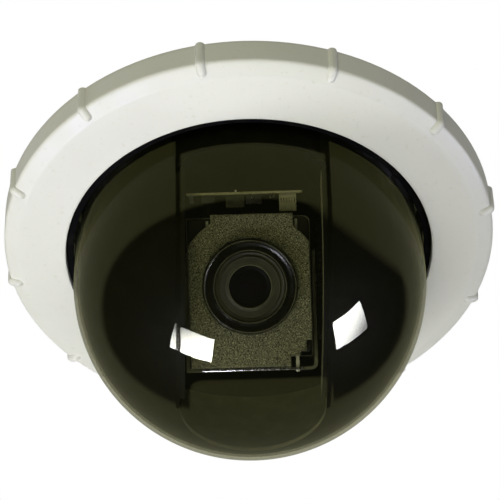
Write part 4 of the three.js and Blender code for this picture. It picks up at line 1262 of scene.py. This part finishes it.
def room_strength(tree):
    """A pale room with a dark rounded gap, cut off on a slant, and a lit stand in front of it."""

    def calc(operation, *values):
        return math_node(tree, operation, *values)

    def oval(middle, half, power):
        """Below 1 inside a rounded shape round the middle, above 1 outside it."""
        parts = []
        for value, centre, size in zip((across, up), middle, half):
            offset = calc("ABSOLUTE", calc("DIVIDE", calc("SUBTRACT", value, centre), size))
            parts.append(calc("POWER", offset, power))
        return calc("ADD", *parts)

    def falling(value, edge, soft):
        share = calc("DIVIDE", calc("SUBTRACT", edge, value), soft)
        return calc("MINIMUM", calc("MAXIMUM", share, 0.0), 1.0)

    across, up = place_on_mirror(tree)
    outline = falling(oval((0.021, -0.125), (0.86, 0.615), 2.1), GAP_EDGE, GAP_SOFT)
    stand = falling(oval((0.045, -1.0), (0.40, 0.485), 14), STAND_EDGE, STAND_SOFT)
    slant = calc("ADD", *(calc("MULTIPLY", value, part) for value, part in zip((across, up), SLANT_WAY)))
    slant = falling(slant, SLANT_EDGE, SLANT_SOFT)
    gap = calc("MULTIPLY", calc("MULTIPLY", outline, slant), calc("SUBTRACT", 1.0, stand))
    return calc("ADD", calc("MULTIPLY", gap, DARK_ROOM - PALE_ROOM), PALE_ROOM)


def studio():
    """White behind the object and for its light; only mirrors see the room."""
    world = bpy.data.worlds.new("studio")
    world.use_nodes = True
    bpy.context.scene.world = world
    tree = world.node_tree
    room = tree.nodes["Background"]
    room.inputs["Color"].default_value = (1.0, 0.995, 0.80, 1)
    feed(tree, room.inputs["Strength"], room_strength(tree))
    ray = tree.nodes.new("ShaderNodeLightPath").outputs
    seen = math_node(tree, "MULTIPLY", ray["Is Camera Ray"], 1 - SOFT_ROOM)
    white = tree.nodes.new("ShaderNodeBackground")
    white.inputs["Color"].default_value = (1, 1, 1, 1)
    feed(tree, white.inputs["Strength"], math_node(tree, "ADD", seen, SOFT_ROOM))
    mixer = tree.nodes.new("ShaderNodeMixShader")
    for socket, source in zip(mixer.inputs, (ray["Is Glossy Ray"], white.outputs[0], room.outputs[0])):
        tree.links.new(source, socket)
    tree.links.new(mixer.outputs[0], tree.nodes["World Output"].inputs["Surface"])


def floor():
    bm = bmesh.new()
    bmesh.ops.create_grid(bm, x_segments=4, y_segments=4, size=12)
    bmesh.ops.translate(bm, verts=bm.verts, vec=(0, 0, -2.6))
    piece = finish_mesh(bm, "floor")
    pale = Surface("floor", (0.80, 0.80, 0.79), 0.8)
    pale.tint(pale.noise(2, 3), (0.77, 0.77, 0.76), 0.4, 0.7)
    pale.set(Emission_Color=(1, 1, 1, 1), Emission_Strength=0.5)
    piece.data.materials.append(pale.material)
    piece.visible_glossy = False
    piece.visible_diffuse = False
    piece.visible_transmission = False


def hide_ring_from_mirrors():
    """Leaves the trim ring and what sits round it out of the dome's reflection."""
    for piece in bpy.data.objects:
        if piece.type != "MESH":
            continue
        corners = [Vector(corner) for corner in piece.bound_box]
        off_axis = sum(corners, Vector()).to_2d().length / len(corners)
        if max(c.x for c in corners) > RING_REACH or off_axis > RING_OFF_AXIS:
            piece.visible_glossy = False


camera()
studio()
floor()
lamps()
hide_ring_from_mirrors()
bpy.context.scene.view_settings.view_transform = "Standard"
bpy.context.scene.view_settings.look = "None"
